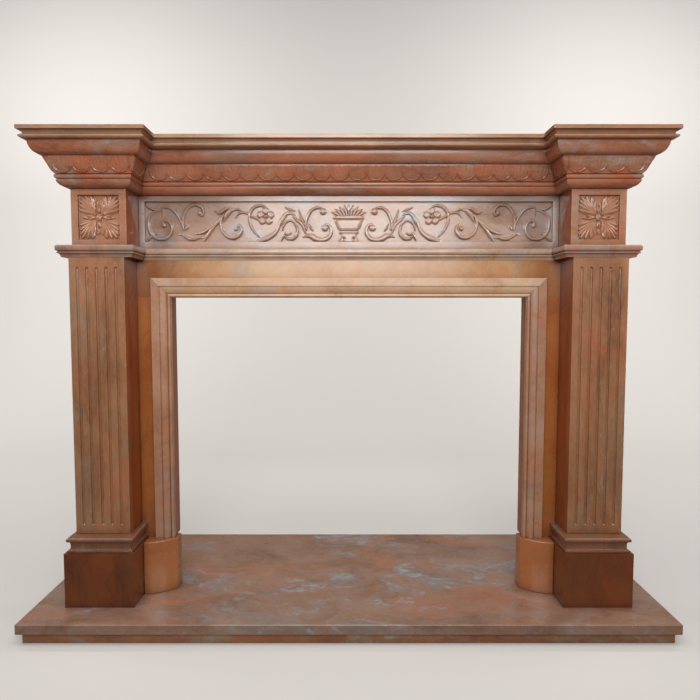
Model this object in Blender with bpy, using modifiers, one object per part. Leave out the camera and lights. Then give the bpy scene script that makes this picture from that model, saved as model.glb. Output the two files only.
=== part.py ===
"""Carved marble fireplace mantel on its hearth, in metres.

The origin is on the floor under the middle of the object. The front faces -Y, +X is to the right
and +Z is up. Distances called "front" or "back" run from the hearth's front edge towards the wall.
"""
import math

import bmesh
import bpy
from mathutils import Matrix, Vector

# Opening, and what stands beside and above it
OPENING_WIDTH = 1.103
OPENING_HEIGHT = 0.923
JAMB_WIDTH = 0.1075
FASCIA_HEIGHT = 0.1158

# Hearth
HEARTH_SIDE_REACH = 0.118
HEARTH_DEPTH = 0.585
HEARTH_SLAB_THICKNESS = 0.030
HEARTH_BASE_HEIGHT = 0.032
HEARTH_BASE_INSET = 0.0125
HEARTH_EASING = 0.002

# Pilasters
JOINT = 0.0003
SHAFT_WIDTH = 0.163
SHAFT_FRONT = 0.1175
BASE_NECK_STEP = 0.0115
PLINTH_WIDTH = 0.206
PLINTH_HEIGHT = 0.163
PLINTH_STEP = 0.022
FLUTES = 5
FLUTE_PITCH = 0.0282
FLUTE_WIDTH = 0.012
FLUTE_DEPTH = 0.005
FLUTE_TOP_MARGIN = 0.029
FLUTE_BOTTOM_MARGIN = 0.026
FLUTE_SEGMENTS = 12
FLUTE_RINGS = 7

# Entablature
WALL_BACK = 0.252
ENTABLATURE_STEP = 0.0215
CENTRE_SETBACK = 0.088
SHELF_SETBACK = 0.073
BLOCK_HEIGHT = 0.1689
BLOCK_PANEL_SIDE_MARGIN = 0.0205
BLOCK_PANEL_END_MARGIN = 0.019
BLOCK_PANEL_DEPTH = 0.0065
FRIEZE_PANEL_SIDE_MARGIN = 0.0185
FRIEZE_PANEL_TOP_MARGIN = 0.0185
FRIEZE_PANEL_BOTTOM_MARGIN = 0.0255
FRIEZE_PANEL_DEPTH = 0.008

# Facing round the opening
PANEL_STEP = 0.021
PANEL_EDGE_SETBACK = 0.003
FRAME_PLINTH_OUTER_STEP = 0.049
FRAME_PLINTH_INNER_STEP = 0.013
FRAME_PLINTH_BEHIND = 0.024
FRAME_PLINTH_REVEAL = 0.0085
FRAME_PLINTH_CURVE_STEPS = 8

# Moulding members from the bottom up: kind, change of projection (or bulge), height
BASE_START = 0.0145
BASE_MEMBERS = (
    ("line", 0.0, 0.0055),
    ("line", -0.003, 0.0005),
    ("round", -0.0035, 0.0245),
    ("line", 0.001, 0.0005),
    ("round", 0.0045, 0.0125),
    ("line", -0.0125, 0.0038),
)
CAP_START = 0.0235
CAP_MEMBERS = (
    ("line", 0.0, 0.0030),
    ("cove", 0.0060, 0.0085),
    ("line", 0.0, 0.0050),
    ("line", -0.0020, 0.0010),
    ("line", 0.0, 0.0030),
    ("line", 0.0035, 0.0010),
    ("round", 0.0020, 0.0113),
    ("line", -0.0010, 0.0020),
)
CORNICE_START = 0.002
CORNICE_FOOT_MEMBERS = (
    ("ovolo", 0.0250, 0.0195),
    ("line", -0.0025, 0.0005),
    ("line", 0.0, 0.0012),
    ("round", 0.0060, 0.0138),
    ("line", 0.0045, 0.0005),
)
LEAF_BAND_MEMBERS = (
    ("line", 0.0085, 0.0130),
    ("line", 0.0055, 0.0150),
    ("line", 0.0060, 0.0150),
)
CORNICE_HEAD_MEMBERS = (
    ("line", 0.0065, 0.0005),
    ("line", 0.0, 0.0030),
    ("ovolo", 0.0210, 0.0275),
    ("line", 0.0, 0.0070),
)
SHELF_START = 0.0845
SHELF_MEMBERS = (
    ("round", 0.0070, 0.0108),
    ("line", -0.0010, 0.0006),
    ("cove", 0.0085, 0.0090),
    ("line", 0.0040, 0.0003),
    ("line", 0.0, 0.0115),
    ("line", -0.0015, 0.0015),
)
# Frame members from its outer edge to the opening: kind, change of thickness (or bulge), width
FRAME_START = 0.016
FRAME_MEMBERS = (
    ("line", 0.0, 0.0245),
    ("line", -0.0025, 0.0005),
    ("line", 0.0, 0.0015),
    ("line", 0.0010, 0.0005),
    ("line", -0.0008, 0.0044),
    ("line", -0.0025, 0.0044),
    ("line", -0.0020, 0.0044),
    ("line", -0.0007, 0.0044),
    ("line", -0.0020, 0.0005),
    ("line", 0.0, 0.0010),
    ("line", 0.0015, 0.0005),
    ("round", 0.0045, 0.0085),
    ("line", -0.0030, 0.0010),
    ("line", 0.0, 0.0039),
)
QUARTER_STEPS = 4
ROUND_STEPS = 6

# Leaf band
LEAF_PITCH = 0.0552
LEAF_GAP = 0.003
LEAF_THICKNESS = 0.004
LEAF_CHAMFER = 0.0016
LEAF_ARC_STEPS = 6
# The corner leaf's outline from its tip up, in shares of the band's reach and of the leaf's height
CORNER_LEAF = ((0.0, 0.10), (0.42, 0.42), (0.80, 1.0))

# Carving of the frieze and the rosettes
STRAND_RADIUS = 0.0055
STRAND_TIP_RADIUS = 0.0012
STRAND_TURN_PER_STEP = math.radians(32)
BEAD_SEGMENTS = 8
BEAD_RINGS = 5
CARVING_BED = 0.0004
URN_CHAMFER = 0.0021

# The rosette's points along and across an arm, in shares of the panel's half size
ROSETTE_BUTTON_RADIUS = 0.009
ROSETTE_PETAL = ((0.15, 0.0), (0.40, 0.10), (0.60, 0.0))
ROSETTE_PETAL_WIDTH = 0.62
ROSETTE_LOBES = ((0.30, 0.80, 0.42), (0.48, 0.92, 0.62))
ROSETTE_LOBE_WIDTH = 0.75
ROSETTE_RIB = (0.12, 0.55, 0.90)
ROSETTE_RIB_WIDTH = 0.85

SHARP_ANGLE = math.radians(35)
WELD_DISTANCE = 0.00001

MARBLE_COLOURS = {
    "frieze": (0.60, 0.40, 0.29),
    "pilaster": (0.36, 0.17, 0.09),
    "cornice": (0.34, 0.13, 0.07),
    "facing": (0.56, 0.31, 0.17),
    "frame_plinth": (0.46, 0.22, 0.12),
    "hearth": (0.30, 0.14, 0.08),
}
MARBLE_ROUGHNESS = 0.22


def profile_points(start, members):
    """The corners of a moulding as (projection, height above its foot)."""
    projection = start
    height = 0.0
    points = [(projection, height)]
    for kind, out, rise in members:
        if kind == "line":
            steps = [(out, rise)]
        elif kind == "cove":
            angles = [math.pi / 2 * step / QUARTER_STEPS for step in range(1, QUARTER_STEPS + 1)]
            steps = [(out * (1 - math.cos(angle)), rise * math.sin(angle)) for angle in angles]
        elif kind == "ovolo":
            angles = [math.pi / 2 * step / QUARTER_STEPS for step in range(1, QUARTER_STEPS + 1)]
            steps = [(out * math.sin(angle), rise * (1 - math.cos(angle))) for angle in angles]
        else:
            angles = [math.pi * step / ROUND_STEPS for step in range(1, ROUND_STEPS + 1)]
            steps = [(out * math.sin(angle), rise * (1 - math.cos(angle)) / 2) for angle in angles]
        points += [(projection + step_out, height + step_rise) for step_out, step_rise in steps]
        projection += 0.0 if kind == "round" else out
        height += rise
    return points


def total_height(members):
    return sum(rise for _, _, rise in members)


# Levels above the floor
HEARTH_TOP = HEARTH_BASE_HEIGHT + HEARTH_SLAB_THICKNESS
OPENING_TOP = HEARTH_TOP + OPENING_HEIGHT
BASE_BOTTOM = HEARTH_TOP + PLINTH_HEIGHT
SHAFT_BOTTOM = BASE_BOTTOM + total_height(BASE_MEMBERS)
CAP_BOTTOM = OPENING_TOP + FASCIA_HEIGHT
BLOCK_BOTTOM = CAP_BOTTOM + total_height(CAP_MEMBERS)
CORNICE_BOTTOM = BLOCK_BOTTOM + BLOCK_HEIGHT
LEAF_BAND_BOTTOM = CORNICE_BOTTOM + total_height(CORNICE_FOOT_MEMBERS)
LEAF_BAND_OUT = sum(out for _, out, _ in LEAF_BAND_MEMBERS)
CORNICE_MEMBERS = CORNICE_FOOT_MEMBERS + LEAF_BAND_MEMBERS + CORNICE_HEAD_MEMBERS
SHELF_BOTTOM = CORNICE_BOTTOM + total_height(CORNICE_MEMBERS)

# Half widths
HALF_OPENING = OPENING_WIDTH / 2
FRAME_WIDTH = total_height(FRAME_MEMBERS)
SHAFT_INNER = HALF_OPENING + JAMB_WIDTH
SHAFT_OUTER = SHAFT_INNER + SHAFT_WIDTH
PILASTER_AXIS = SHAFT_INNER + SHAFT_WIDTH / 2
PLINTH_INNER = PILASTER_AXIS - PLINTH_WIDTH / 2
HEARTH_HALF_WIDTH = SHAFT_OUTER + HEARTH_SIDE_REACH

# Fronts, as distances behind the hearth's front edge
BASE_NECK_FRONT = SHAFT_FRONT - BASE_NECK_STEP
PLINTH_FRONT = BASE_NECK_FRONT - PLINTH_STEP
ENTABLATURE_FRONT = SHAFT_FRONT + ENTABLATURE_STEP
FRIEZE_FRONT = ENTABLATURE_FRONT + CENTRE_SETBACK
PANEL_FRONT = FRIEZE_FRONT - PANEL_STEP

for old in list(bpy.data.objects):
    bpy.data.objects.remove(old, do_unlink=True)
MANTEL = bpy.data.collections.new("fireplace_mantel")
CARVING = bpy.data.collections.new("cutters_and_carving")
bpy.context.scene.collection.children.link(MANTEL)
bpy.context.scene.collection.children.link(CARVING)
CARVING.hide_render = True


def behind(distance):
    """Y of a plane that lies this far behind the hearth's front edge."""
    return distance - HEARTH_DEPTH / 2


def marble(kind):
    """The material for one kind of stone, made once."""
    name = "marble_" + kind
    if name in bpy.data.materials:
        return bpy.data.materials[name]
    material = bpy.data.materials.new(name)
    material.use_nodes = True
    shader = material.node_tree.nodes["Principled BSDF"]
    shader.inputs["Base Color"].default_value = (*MARBLE_COLOURS[kind], 1.0)
    shader.inputs["Roughness"].default_value = MARBLE_ROUGHNESS
    shader.inputs["Metallic"].default_value = 0.0
    return material


def add_piece(name, mesh_tool, kind):
    """Turn a bmesh into a named piece of the mantel."""
    bmesh.ops.recalc_face_normals(mesh_tool, faces=mesh_tool.faces)
    mesh = bpy.data.meshes.new(name)
    mesh_tool.to_mesh(mesh)
    mesh_tool.free()
    piece = bpy.data.objects.new(name, mesh)
    mesh.materials.append(marble(kind))
    mesh.shade_smooth()
    mesh.set_sharp_from_angle(angle=SHARP_ANGLE)
    MANTEL.objects.link(piece)
    return piece


def add_helper(name, mesh_tool, collection=CARVING):
    """Turn a bmesh into a hidden cutter or a carved detail that a Boolean uses."""
    mesh = bpy.data.meshes.new(name)
    mesh_tool.to_mesh(mesh)
    mesh_tool.free()
    helper = bpy.data.objects.new(name, mesh)
    helper.hide_render = True
    helper.display_type = "WIRE"
    collection.objects.link(helper)
    return helper


def cut(piece, cutter):
    modifier = piece.modifiers.new("cut " + cutter.name, "BOOLEAN")
    modifier.operation = "DIFFERENCE"
    modifier.solver = "EXACT"
    modifier.object = cutter


def carve_on(piece, collection):
    """Join every detail of a collection to the piece."""
    modifier = piece.modifiers.new("carving", "BOOLEAN")
    modifier.operation = "UNION"
    modifier.solver = "EXACT"
    modifier.operand_type = "COLLECTION"
    modifier.collection = collection


def raise_rings(rings):
    """A closed solid through rings of points, made by extruding the first ring's face."""
    mesh_tool = bmesh.new()
    face = mesh_tool.faces.new([mesh_tool.verts.new(point) for point in rings[0]])
    for previous, ring in zip(rings, rings[1:]):
        made = bmesh.ops.extrude_face_region(mesh_tool, geom=[face, *face.edges])["geom"]
        face = next(item for item in made if isinstance(item, bmesh.types.BMFace))
        targets = {}
        for vert in face.verts:
            nearest = min(range(len(ring)), key=lambda i: (vert.co - Vector(previous[i])).length)
            targets[vert] = ring[nearest]
        for vert, target in targets.items():
            vert.co = target
    return mesh_tool


def raise_plan(outline, profile, bottom):
    """A moulding: outline(projection) gives the plan's corners at each point of the profile."""
    rings = []
    for projection, height in profile:
        rings.append([(x, y, bottom + height) for x, y in outline(projection)])
    return raise_rings(rings)


def box(low, high):
    mesh_tool = bmesh.new()
    bmesh.ops.create_cube(mesh_tool, size=1.0)
    size = Vector(high) - Vector(low)
    middle = (Vector(high) + Vector(low)) / 2
    bmesh.ops.scale(mesh_tool, vec=size, verts=mesh_tool.verts)
    bmesh.ops.translate(mesh_tool, vec=middle, verts=mesh_tool.verts)
    return mesh_tool


def side_name(side):
    return "left" if side < 0 else "right"


def spread(side, inner, outer):
    """The low and high X of a span on one side of the middle."""
    return (side * inner, side * outer) if side > 0 else (side * outer, side * inner)


def without_top_joint(points):
    """The same profile, with its last point lowered by the joint."""
    projection, height = points[-1]
    return points[:-1] + [(projection, height - JOINT)]


def build_hearth():
    half = HEARTH_HALF_WIDTH
    inset = HEARTH_BASE_INSET
    pieces = (
        ("hearth_base_course", (-half + inset, behind(inset), 0.0),
         (half - inset, behind(HEARTH_DEPTH - inset), HEARTH_BASE_HEIGHT - JOINT)),
        ("hearth_slab", (-half, behind(0.0), HEARTH_BASE_HEIGHT),
         (half, behind(HEARTH_DEPTH), HEARTH_TOP - JOINT)),
    )
    for name, low, high in pieces:
        piece = add_piece(name, box(low, high), "hearth")
        easing = piece.modifiers.new("eased edges", "BEVEL")
        easing.width = HEARTH_EASING
        easing.segments = 1


def build_plinth(side):
    low_x, high_x = spread(side, PLINTH_INNER, PILASTER_AXIS + PLINTH_WIDTH / 2)
    low = (low_x, behind(PLINTH_FRONT), HEARTH_TOP)
    high = (high_x, behind(WALL_BACK), BASE_BOTTOM - JOINT)
    add_piece("pilaster_plinth_" + side_name(side), box(low, high), "pilaster")


def build_base(side):
    def outline(projection):
        outer = side * (SHAFT_OUTER + projection)
        inner = side * (SHAFT_INNER - projection)
        front = behind(BASE_NECK_FRONT - projection)
        panel = behind(PANEL_FRONT) - JOINT
        back = behind(WALL_BACK)
        shaft = side * SHAFT_INNER
        return [(outer, back), (outer, front), (inner, front), (inner, panel), (shaft, panel), (shaft, back)]

    profile = without_top_joint(profile_points(BASE_START, BASE_MEMBERS))
    add_piece("pilaster_base_" + side_name(side), raise_plan(outline, profile, BASE_BOTTOM), "pilaster")


def flute_cutters(side):
    """Stopped flutes with round ends, as one cutter."""
    mesh_tool = bmesh.new()
    top = CAP_BOTTOM - FLUTE_TOP_MARGIN
    bottom = SHAFT_BOTTOM + FLUTE_BOTTOM_MARGIN
    radius = FLUTE_WIDTH / 2
    reach = (top - bottom) / 2 - radius
    for index in range(FLUTES):
        ball = bmesh.ops.create_uvsphere(mesh_tool, u_segments=FLUTE_SEGMENTS, v_segments=FLUTE_RINGS,
                                           radius=1.0)
        middle_x = side * PILASTER_AXIS + (index - (FLUTES - 1) / 2) * FLUTE_PITCH
        for vert in ball["verts"]:
            end = math.copysign(reach, vert.co.z)
            vert.co = Vector((
                middle_x + radius * vert.co.x,
                behind(SHAFT_FRONT) + FLUTE_DEPTH * vert.co.y,
                (top + bottom) / 2 + end + radius * vert.co.z,
            ))
    return add_helper("flutes_" + side_name(side), mesh_tool)


def build_shaft(side):
    low_x, high_x = spread(side, SHAFT_INNER, SHAFT_OUTER)
    low = (low_x, behind(SHAFT_FRONT), SHAFT_BOTTOM)
    high = (high_x, behind(WALL_BACK), CAP_BOTTOM - JOINT)
    shaft = add_piece("pilaster_shaft_" + side_name(side), box(low, high), "pilaster")
    cut(shaft, flute_cutters(side))


def build_cap(side):
    def outline(projection):
        outer = side * (SHAFT_OUTER + projection)
        inner = side * (SHAFT_INNER - projection)
        back = behind(WALL_BACK)
        front = behind(ENTABLATURE_FRONT - projection)
        mitre = behind(FRIEZE_FRONT - projection)
        return [
            (outer, back),
            (outer, front),
            (inner, front),
            (inner, mitre - JOINT),
            (side * SHAFT_INNER, behind(FRIEZE_FRONT) - JOINT),
            (side * SHAFT_INNER, back),
        ]

    profile = without_top_joint(profile_points(CAP_START, CAP_MEMBERS))
    add_piece("pilaster_cap_" + side_name(side), raise_plan(outline, profile, CAP_BOTTOM), "pilaster")


def build_architrave():
    def outline(projection):
        corner = SHAFT_INNER - JOINT
        end = corner - projection
        back = behind(WALL_BACK)
        face = behind(FRIEZE_FRONT)
        front = face - projection
        return [(-corner, back), (-corner, face), (-end, front), (end, front), (corner, face), (corner, back)]

    profile = without_top_joint(profile_points(CAP_START, CAP_MEMBERS))
    add_piece("architrave_moulding", raise_plan(outline, profile, CAP_BOTTOM), "facing")


def breakfront(setback):
    """The plan that steps forward over both pilasters, with the middle set back."""
    def outline(projection):
        outer = SHAFT_OUTER + projection
        inner = SHAFT_INNER - projection
        back = behind(WALL_BACK)
        wing = behind(ENTABLATURE_FRONT - projection)
        middle = wing + setback
        right = [(inner, middle), (inner, wing), (outer, wing), (outer, back)]
        left = [(-x, y) for x, y in reversed(right)]
        return left + right

    return outline


def leaf_mesh(width, height):
    """One tongue leaf, flat at the back, round at the bottom, with chamfered edges."""
    radius = width / 2
    corners = [(radius, height), (-radius, height)]
    for step in range(LEAF_ARC_STEPS + 1):
        angle = math.pi + math.pi * step / LEAF_ARC_STEPS
        corners.append((radius * math.cos(angle), radius + radius * math.sin(angle)))
    return slab_mesh("leaf outline", corners, LEAF_THICKNESS, LEAF_CHAMFER)


def slab_mesh(name, corners, half_thickness, chamfer):
    """A flat outline with thickness and chamfered edges."""
    curve = bpy.data.curves.new(name, "CURVE")
    curve.dimensions = "2D"
    curve.fill_mode = "BOTH"
    curve.extrude = half_thickness - chamfer
    curve.bevel_depth = chamfer
    curve.bevel_resolution = 0
    curve.offset = -chamfer
    spline = curve.splines.new("POLY")
    spline.points.add(len(corners) - 1)
    for point, (x, y) in zip(spline.points, corners):
        point.co = (x, y, 0.0, 1.0)
    spline.use_cyclic_u = True
    return mesh_from_curve(curve)


def mesh_from_curve(curve):
    """A welded mesh of the curve; the curve itself is removed."""
    holder = bpy.data.objects.new(curve.name, curve)
    CARVING.objects.link(holder)
    graph = bpy.context.evaluated_depsgraph_get()
    mesh = bpy.data.meshes.new_from_object(holder.evaluated_get(graph))
    bpy.data.objects.remove(holder, do_unlink=True)
    mesh_tool = bmesh.new()
    mesh_tool.from_mesh(mesh)
    bmesh.ops.remove_doubles(mesh_tool, verts=mesh_tool.verts, dist=WELD_DISTANCE)
    bmesh.ops.recalc_face_normals(mesh_tool, faces=mesh_tool.faces)
    mesh_tool.to_mesh(mesh)
    mesh_tool.free()
    return mesh


def leaf_runs():
    """Each straight run of the breakfront at the leaves' foot, and how it turns at its two ends.

    A turn is above zero at an outer corner, below zero at an inner one and zero where the moulding ends.
    """
    foot = profile_points(CORNICE_START, CORNICE_FOOT_MEMBERS)[-1][0]
    corners = [Vector(corner) for corner in breakfront(CENTRE_SETBACK)(foot)]
    runs = [(end - start).normalized() for start, end in zip(corners, corners[1:])]
    turns = [0.0] + [before.cross(after) for before, after in zip(runs, runs[1:])] + [0.0]
    return list(zip(corners, corners[1:], turns, turns[1:]))


def corner_leaf(corner, before, after, height):
    """A narrow leaf folded over a mitre: before and after are the two faces' outward directions."""
    outline = [(share * LEAF_BAND_OUT, rise * height) for share, rise in CORNER_LEAF]
    outline += [(-x, y) for x, y in reversed(outline) if x > 0]
    mesh = slab_mesh("corner leaf outline", outline, LEAF_THICKNESS, LEAF_CHAMFER)
    mesh_tool = bmesh.new()
    mesh_tool.from_mesh(mesh)
    everything = [*mesh_tool.verts, *mesh_tool.edges, *mesh_tool.faces]
    bmesh.ops.bisect_plane(mesh_tool, geom=everything, plane_co=(0, 0, 0), plane_no=(1, 0, 0))
    up = Vector((0.0, 0.0, total_height(LEAF_BAND_MEMBERS)))
    mitre = ((before + after).to_3d() * LEAF_BAND_OUT + up) / math.hypot(up.z, LEAF_BAND_OUT)
    for vert in mesh_tool.verts:
        sideways, along, out = vert.co
        run = -after if sideways < 0 else -before
        offset = (before + after).to_3d() * out
        vert.co = Vector((*corner, LEAF_BAND_BOTTOM)) + mitre * along + run.to_3d() * abs(sideways) + offset
    bmesh.ops.recalc_face_normals(mesh_tool, faces=mesh_tool.faces)
    return mesh_tool


def build_cornice():
    profile = without_top_joint(profile_points(CORNICE_START, CORNICE_MEMBERS))
    mesh_tool = raise_plan(breakfront(CENTRE_SETBACK), profile, CORNICE_BOTTOM)
    cornice = add_piece("cornice", mesh_tool, "cornice")
    leaves = bpy.data.collections.new("leaf_band")
    CARVING.children.link(leaves)
    rise = total_height(LEAF_BAND_MEMBERS)
    height = math.hypot(rise, LEAF_BAND_OUT) + LEAF_THICKNESS
    leaf = leaf_mesh(LEAF_PITCH - LEAF_GAP, height)
    hollow = LEAF_BAND_OUT + LEAF_THICKNESS
    last_outward = Vector((0.0, 0.0))
    for number, (start, end, start_turn, end_turn) in enumerate(leaf_runs()):
        along = (end - start).normalized()
        outward = Vector((along.y, -along.x))
        if start_turn > 0:
            add_helper(f"corner_leaf_{number}", corner_leaf(start, last_outward, outward, height), leaves)
        last_outward = outward
        start_gap = hollow if start_turn < 0 else 0.0
        end_gap = hollow if end_turn < 0 else 0.0
        usable = (end - start).length - start_gap - end_gap
        count = max(1, round(usable / LEAF_PITCH))
        across = along.to_3d() * usable / count / LEAF_PITCH
        up = Vector((outward.x * LEAF_BAND_OUT, outward.y * LEAF_BAND_OUT, rise)).normalized()
        turn = Matrix((across, up, along.to_3d().cross(up))).transposed().to_4x4()
        for leaf_number in range(count):
            foot = start + along * (start_gap + usable * (leaf_number + 0.5) / count)
            helper = bpy.data.objects.new(f"leaf_{number}_{leaf_number:02d}", leaf)
            helper.matrix_world = Matrix.Translation((*foot, LEAF_BAND_BOTTOM)) @ turn
            helper.hide_render = True
            helper.display_type = "WIRE"
            leaves.objects.link(helper)
    carve_on(cornice, leaves)


def build_shelf():
    profile = profile_points(SHELF_START, SHELF_MEMBERS)
    add_piece("mantel_shelf", raise_plan(breakfront(SHELF_SETBACK), profile, SHELF_BOTTOM), "cornice")


def arc_points(centre, start_radius, end_radius, start_angle, end_angle):
    """Points of a spiral in degrees, one for each share of turn."""
    turn = math.radians(end_angle - start_angle)
    steps = max(2, math.ceil(abs(turn) / STRAND_TURN_PER_STEP))
    points = []
    for step in range(steps + 1):
        share = step / steps
        angle = math.radians(start_angle) + turn * share
        radius = start_radius + (end_radius - start_radius) * share
        points.append((centre[0] + radius * math.cos(angle), centre[1] + radius * math.sin(angle)))
    return points


def strand(name, points, radius, collection, place, swell=0.5):
    """A carved strand: a tapering curve, thickest at the share of its length given by swell."""
    curve = bpy.data.curves.new(name, "CURVE")
    curve.dimensions = "2D"
    curve.fill_mode = "NONE"
    curve.bevel_depth = 1.0
    curve.bevel_resolution = 0
    curve.use_fill_caps = True
    spline = curve.splines.new("POLY")
    spline.points.add(len(points) - 1)
    for index, (point, (x, y)) in enumerate(zip(spline.points, points)):
        share = index / (len(points) - 1)
        rise = share / swell if share < swell else (1 - share) / (1 - swell)
        point.co = (x, y, 0.0, 1.0)
        point.radius = STRAND_TIP_RADIUS + (radius - STRAND_TIP_RADIUS) * math.sqrt(max(rise, 0.0))
    helper = bpy.data.objects.new(name, mesh_from_curve(curve))
    helper.matrix_world = place
    helper.hide_render = True
    helper.display_type = "WIRE"
    collection.objects.link(helper)


def bead(name, centre, radius, collection, place, most_rise):
    """A round button: a sphere half sunk in the ground, flattened where it would stand too proud."""
    mesh_tool = bmesh.new()
    bmesh.ops.create_uvsphere(mesh_tool, u_segments=BEAD_SEGMENTS, v_segments=BEAD_RINGS, radius=radius)
    flatten = min(1.0, most_rise / radius)
    bmesh.ops.scale(mesh_tool, vec=(1.0, 1.0, flatten), verts=mesh_tool.verts)
    helper = add_helper(name, mesh_tool, collection)
    helper.matrix_world = place @ Matrix.Translation((centre[0], centre[1], 0.0))


# The frieze's ornament for the right half, whose places run to 1 at the top and to this number at the end.
FRIEZE_END = 10.25
# Scrolls: centre, first and last radius, first and last angle in degrees, radius of the ball.
SCROLLS = (
    ((9.44, -0.14), 0.71, 0.24, 70, -262, 0.13),
    ((9.23, -0.19), 0.98, 0.80, 77, 195, 0.0),
    ((7.64, 0.45), 1.06, 0.24, -55, 208, 0.11),
    ((5.75, -0.29), 0.84, 0.21, 40, -188, 0.12),
    ((4.27, 0.03), 0.77, 0.77, 86, -76, 0.0),
    ((2.91, -0.43), 0.52, 0.42, 37, 300, 0.0),
    ((1.44, 0.40), 0.97, 0.36, -55, 125, 0.16),
    ((1.27, -0.43), 0.90, 0.42, -20, -236, 0.16),
)
# Stems and leaves: points from root to tip, then the width as a share of a strand's.
STEMS = (
    (((10.27, 0.95), (10.05, 0.75), (9.85, 0.58)), 0.9),
    (((10.25, -0.95), (10.15, -0.72), (9.98, -0.50)), 0.9),
    (((9.75, -0.60), (9.55, -0.45), (9.35, -0.38)), 0.7),
    (((7.22, -0.52), (7.75, -0.78), (8.30, -0.80), (8.62, -0.62)), 1.3),
    (((7.40, -0.60), (7.90, -0.50), (8.20, -0.22)), 1.1),
    (((7.30, -0.70), (7.60, -0.92), (7.95, -0.96)), 1.0),
    (((7.45, -0.80), (7.10, -0.45), (6.80, -0.12), (6.45, 0.32),
      (6.12, 0.66), (5.78, 0.62)), 1.0),
    (((7.38, -0.96), (7.05, -0.62), (6.65, -0.10)), 0.8),
    (((6.72, 0.45), (6.50, 0.42), (6.30, 0.50)), 0.8),
    (((6.26, 0.02), (6.05, 0.36), (5.78, 0.62)), 0.9),
    (((5.62, 0.20), (5.40, 0.40), (5.05, 0.34), (4.55, 0.12)), 0.8),
    (((4.68, -0.96), (4.10, -0.88), (3.72, -0.58), (3.52, -0.16), (3.38, 0.20),
      (3.10, 0.48), (2.72, 0.40)), 1.0),
    (((3.20, 0.74), (2.95, 0.68), (2.70, 0.52)), 0.8),
    (((2.45, 0.42), (2.30, -0.02), (2.13, -0.44)), 0.8),
    (((2.70, 0.20), (2.42, -0.12), (2.18, -0.44)), 0.8),
)
FLOWER_CENTRE = (4.17, 0.27)
FLOWER_PETALS = 5
FLOWER_RADIUS = 0.40
FLOWER_BUTTON = 0.10
FLOWER_PETAL_WIDTH = 0.9
# The urn from its rim down: height and half width, in shares of the panel's half height.
URN_LEVELS = ((0.27, 0.78), (0.14, 0.76), (0.10, 0.67), (-0.20, 0.56), (-0.48, 0.36), (-0.50, 0.49),
              (-0.55, 0.50), (-0.58, 0.44), (-0.76, 0.36), (-0.97, 0.56))
URN_SPRAY_LEANS = (-64, -32, 0, 32, 64)
URN_SPRAY_FOOT = 0.35
URN_SPRAY_LENGTH = 0.62


def middle_of(start, end):
    return tuple((a + b) / 2 for a, b in zip(start, end))


def frieze_strands(name, place, side, half_width, half_height, carving):
    """One half of the ornament, mirrored by side."""
    def at(point):
        return (side * point[0] * half_width / FRIEZE_END, point[1] * half_height)

    for number, (centre, first, last, first_angle, last_angle, ball) in enumerate(SCROLLS):
        points = [at(point) for point in arc_points(centre, first, last, first_angle, last_angle)]
        strand(f"{name}_scroll_{number}", points, STRAND_RADIUS, carving, place, swell=0.45)
        if ball:
            bead(f"{name}_ball_{number}", at(centre), ball * half_height, carving, place, FRIEZE_PANEL_DEPTH)
    for number, (points, width) in enumerate(STEMS):
        path = [at(point) for point in points]
        strand(f"{name}_stem_{number}", path, STRAND_RADIUS * width, carving, place)
    for number in range(FLOWER_PETALS):
        angle = math.tau * (number + 0.5) / FLOWER_PETALS
        reach = (FLOWER_RADIUS * math.cos(angle), FLOWER_RADIUS * math.sin(angle))
        tip = (FLOWER_CENTRE[0] + reach[0], FLOWER_CENTRE[1] + reach[1])
        points = [at(point) for point in (FLOWER_CENTRE, middle_of(FLOWER_CENTRE, tip), tip)]
        radius = STRAND_RADIUS * FLOWER_PETAL_WIDTH
        strand(f"{name}_petal_{number}", points, radius, carving, place, swell=0.6)
    bead(f"{name}_flower", at(FLOWER_CENTRE), FLOWER_BUTTON * half_height, carving, place, FRIEZE_PANEL_DEPTH)


def urn(half_height, place, carving):
    """The urn in the middle: a flat outline with thickness, and the leaves that stand in it."""
    outline = [(half * half_height, level * half_height) for level, half in URN_LEVELS]
    outline += [(-x, y) for x, y in reversed(outline)]
    body = bpy.data.objects.new("urn", slab_mesh("urn outline", outline, STRAND_RADIUS, URN_CHAMFER))
    body.matrix_world = place
    body.hide_render = True
    body.display_type = "WIRE"
    carving.objects.link(body)
    rim = URN_LEVELS[0][0] * half_height
    length = URN_SPRAY_LENGTH * half_height
    for number, lean in enumerate(URN_SPRAY_LEANS):
        angle = math.radians(90 - lean)
        foot = (URN_SPRAY_FOOT * lean / URN_SPRAY_LEANS[-1] * half_height, rim)
        tip = (foot[0] + length * math.cos(angle), foot[1] + length * math.sin(angle))
        strand(f"spray_{number}", [foot, middle_of(foot, tip), tip], STRAND_RADIUS, carving, place)


def facing_place(x, front, z):
    """Local X runs right, local Y runs up and local Z comes out of a face that looks to -Y."""
    return Matrix.Translation((x, behind(front), z)) @ Matrix.Rotation(math.radians(90), 4, "X")


def sunk_panel(name, low_x, high_x, front, depth, low_z, high_z):
    low = (low_x, behind(front) - depth, low_z)
    high = (high_x, behind(front) + depth, high_z)
    return add_helper(name, box(low, high))


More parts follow.
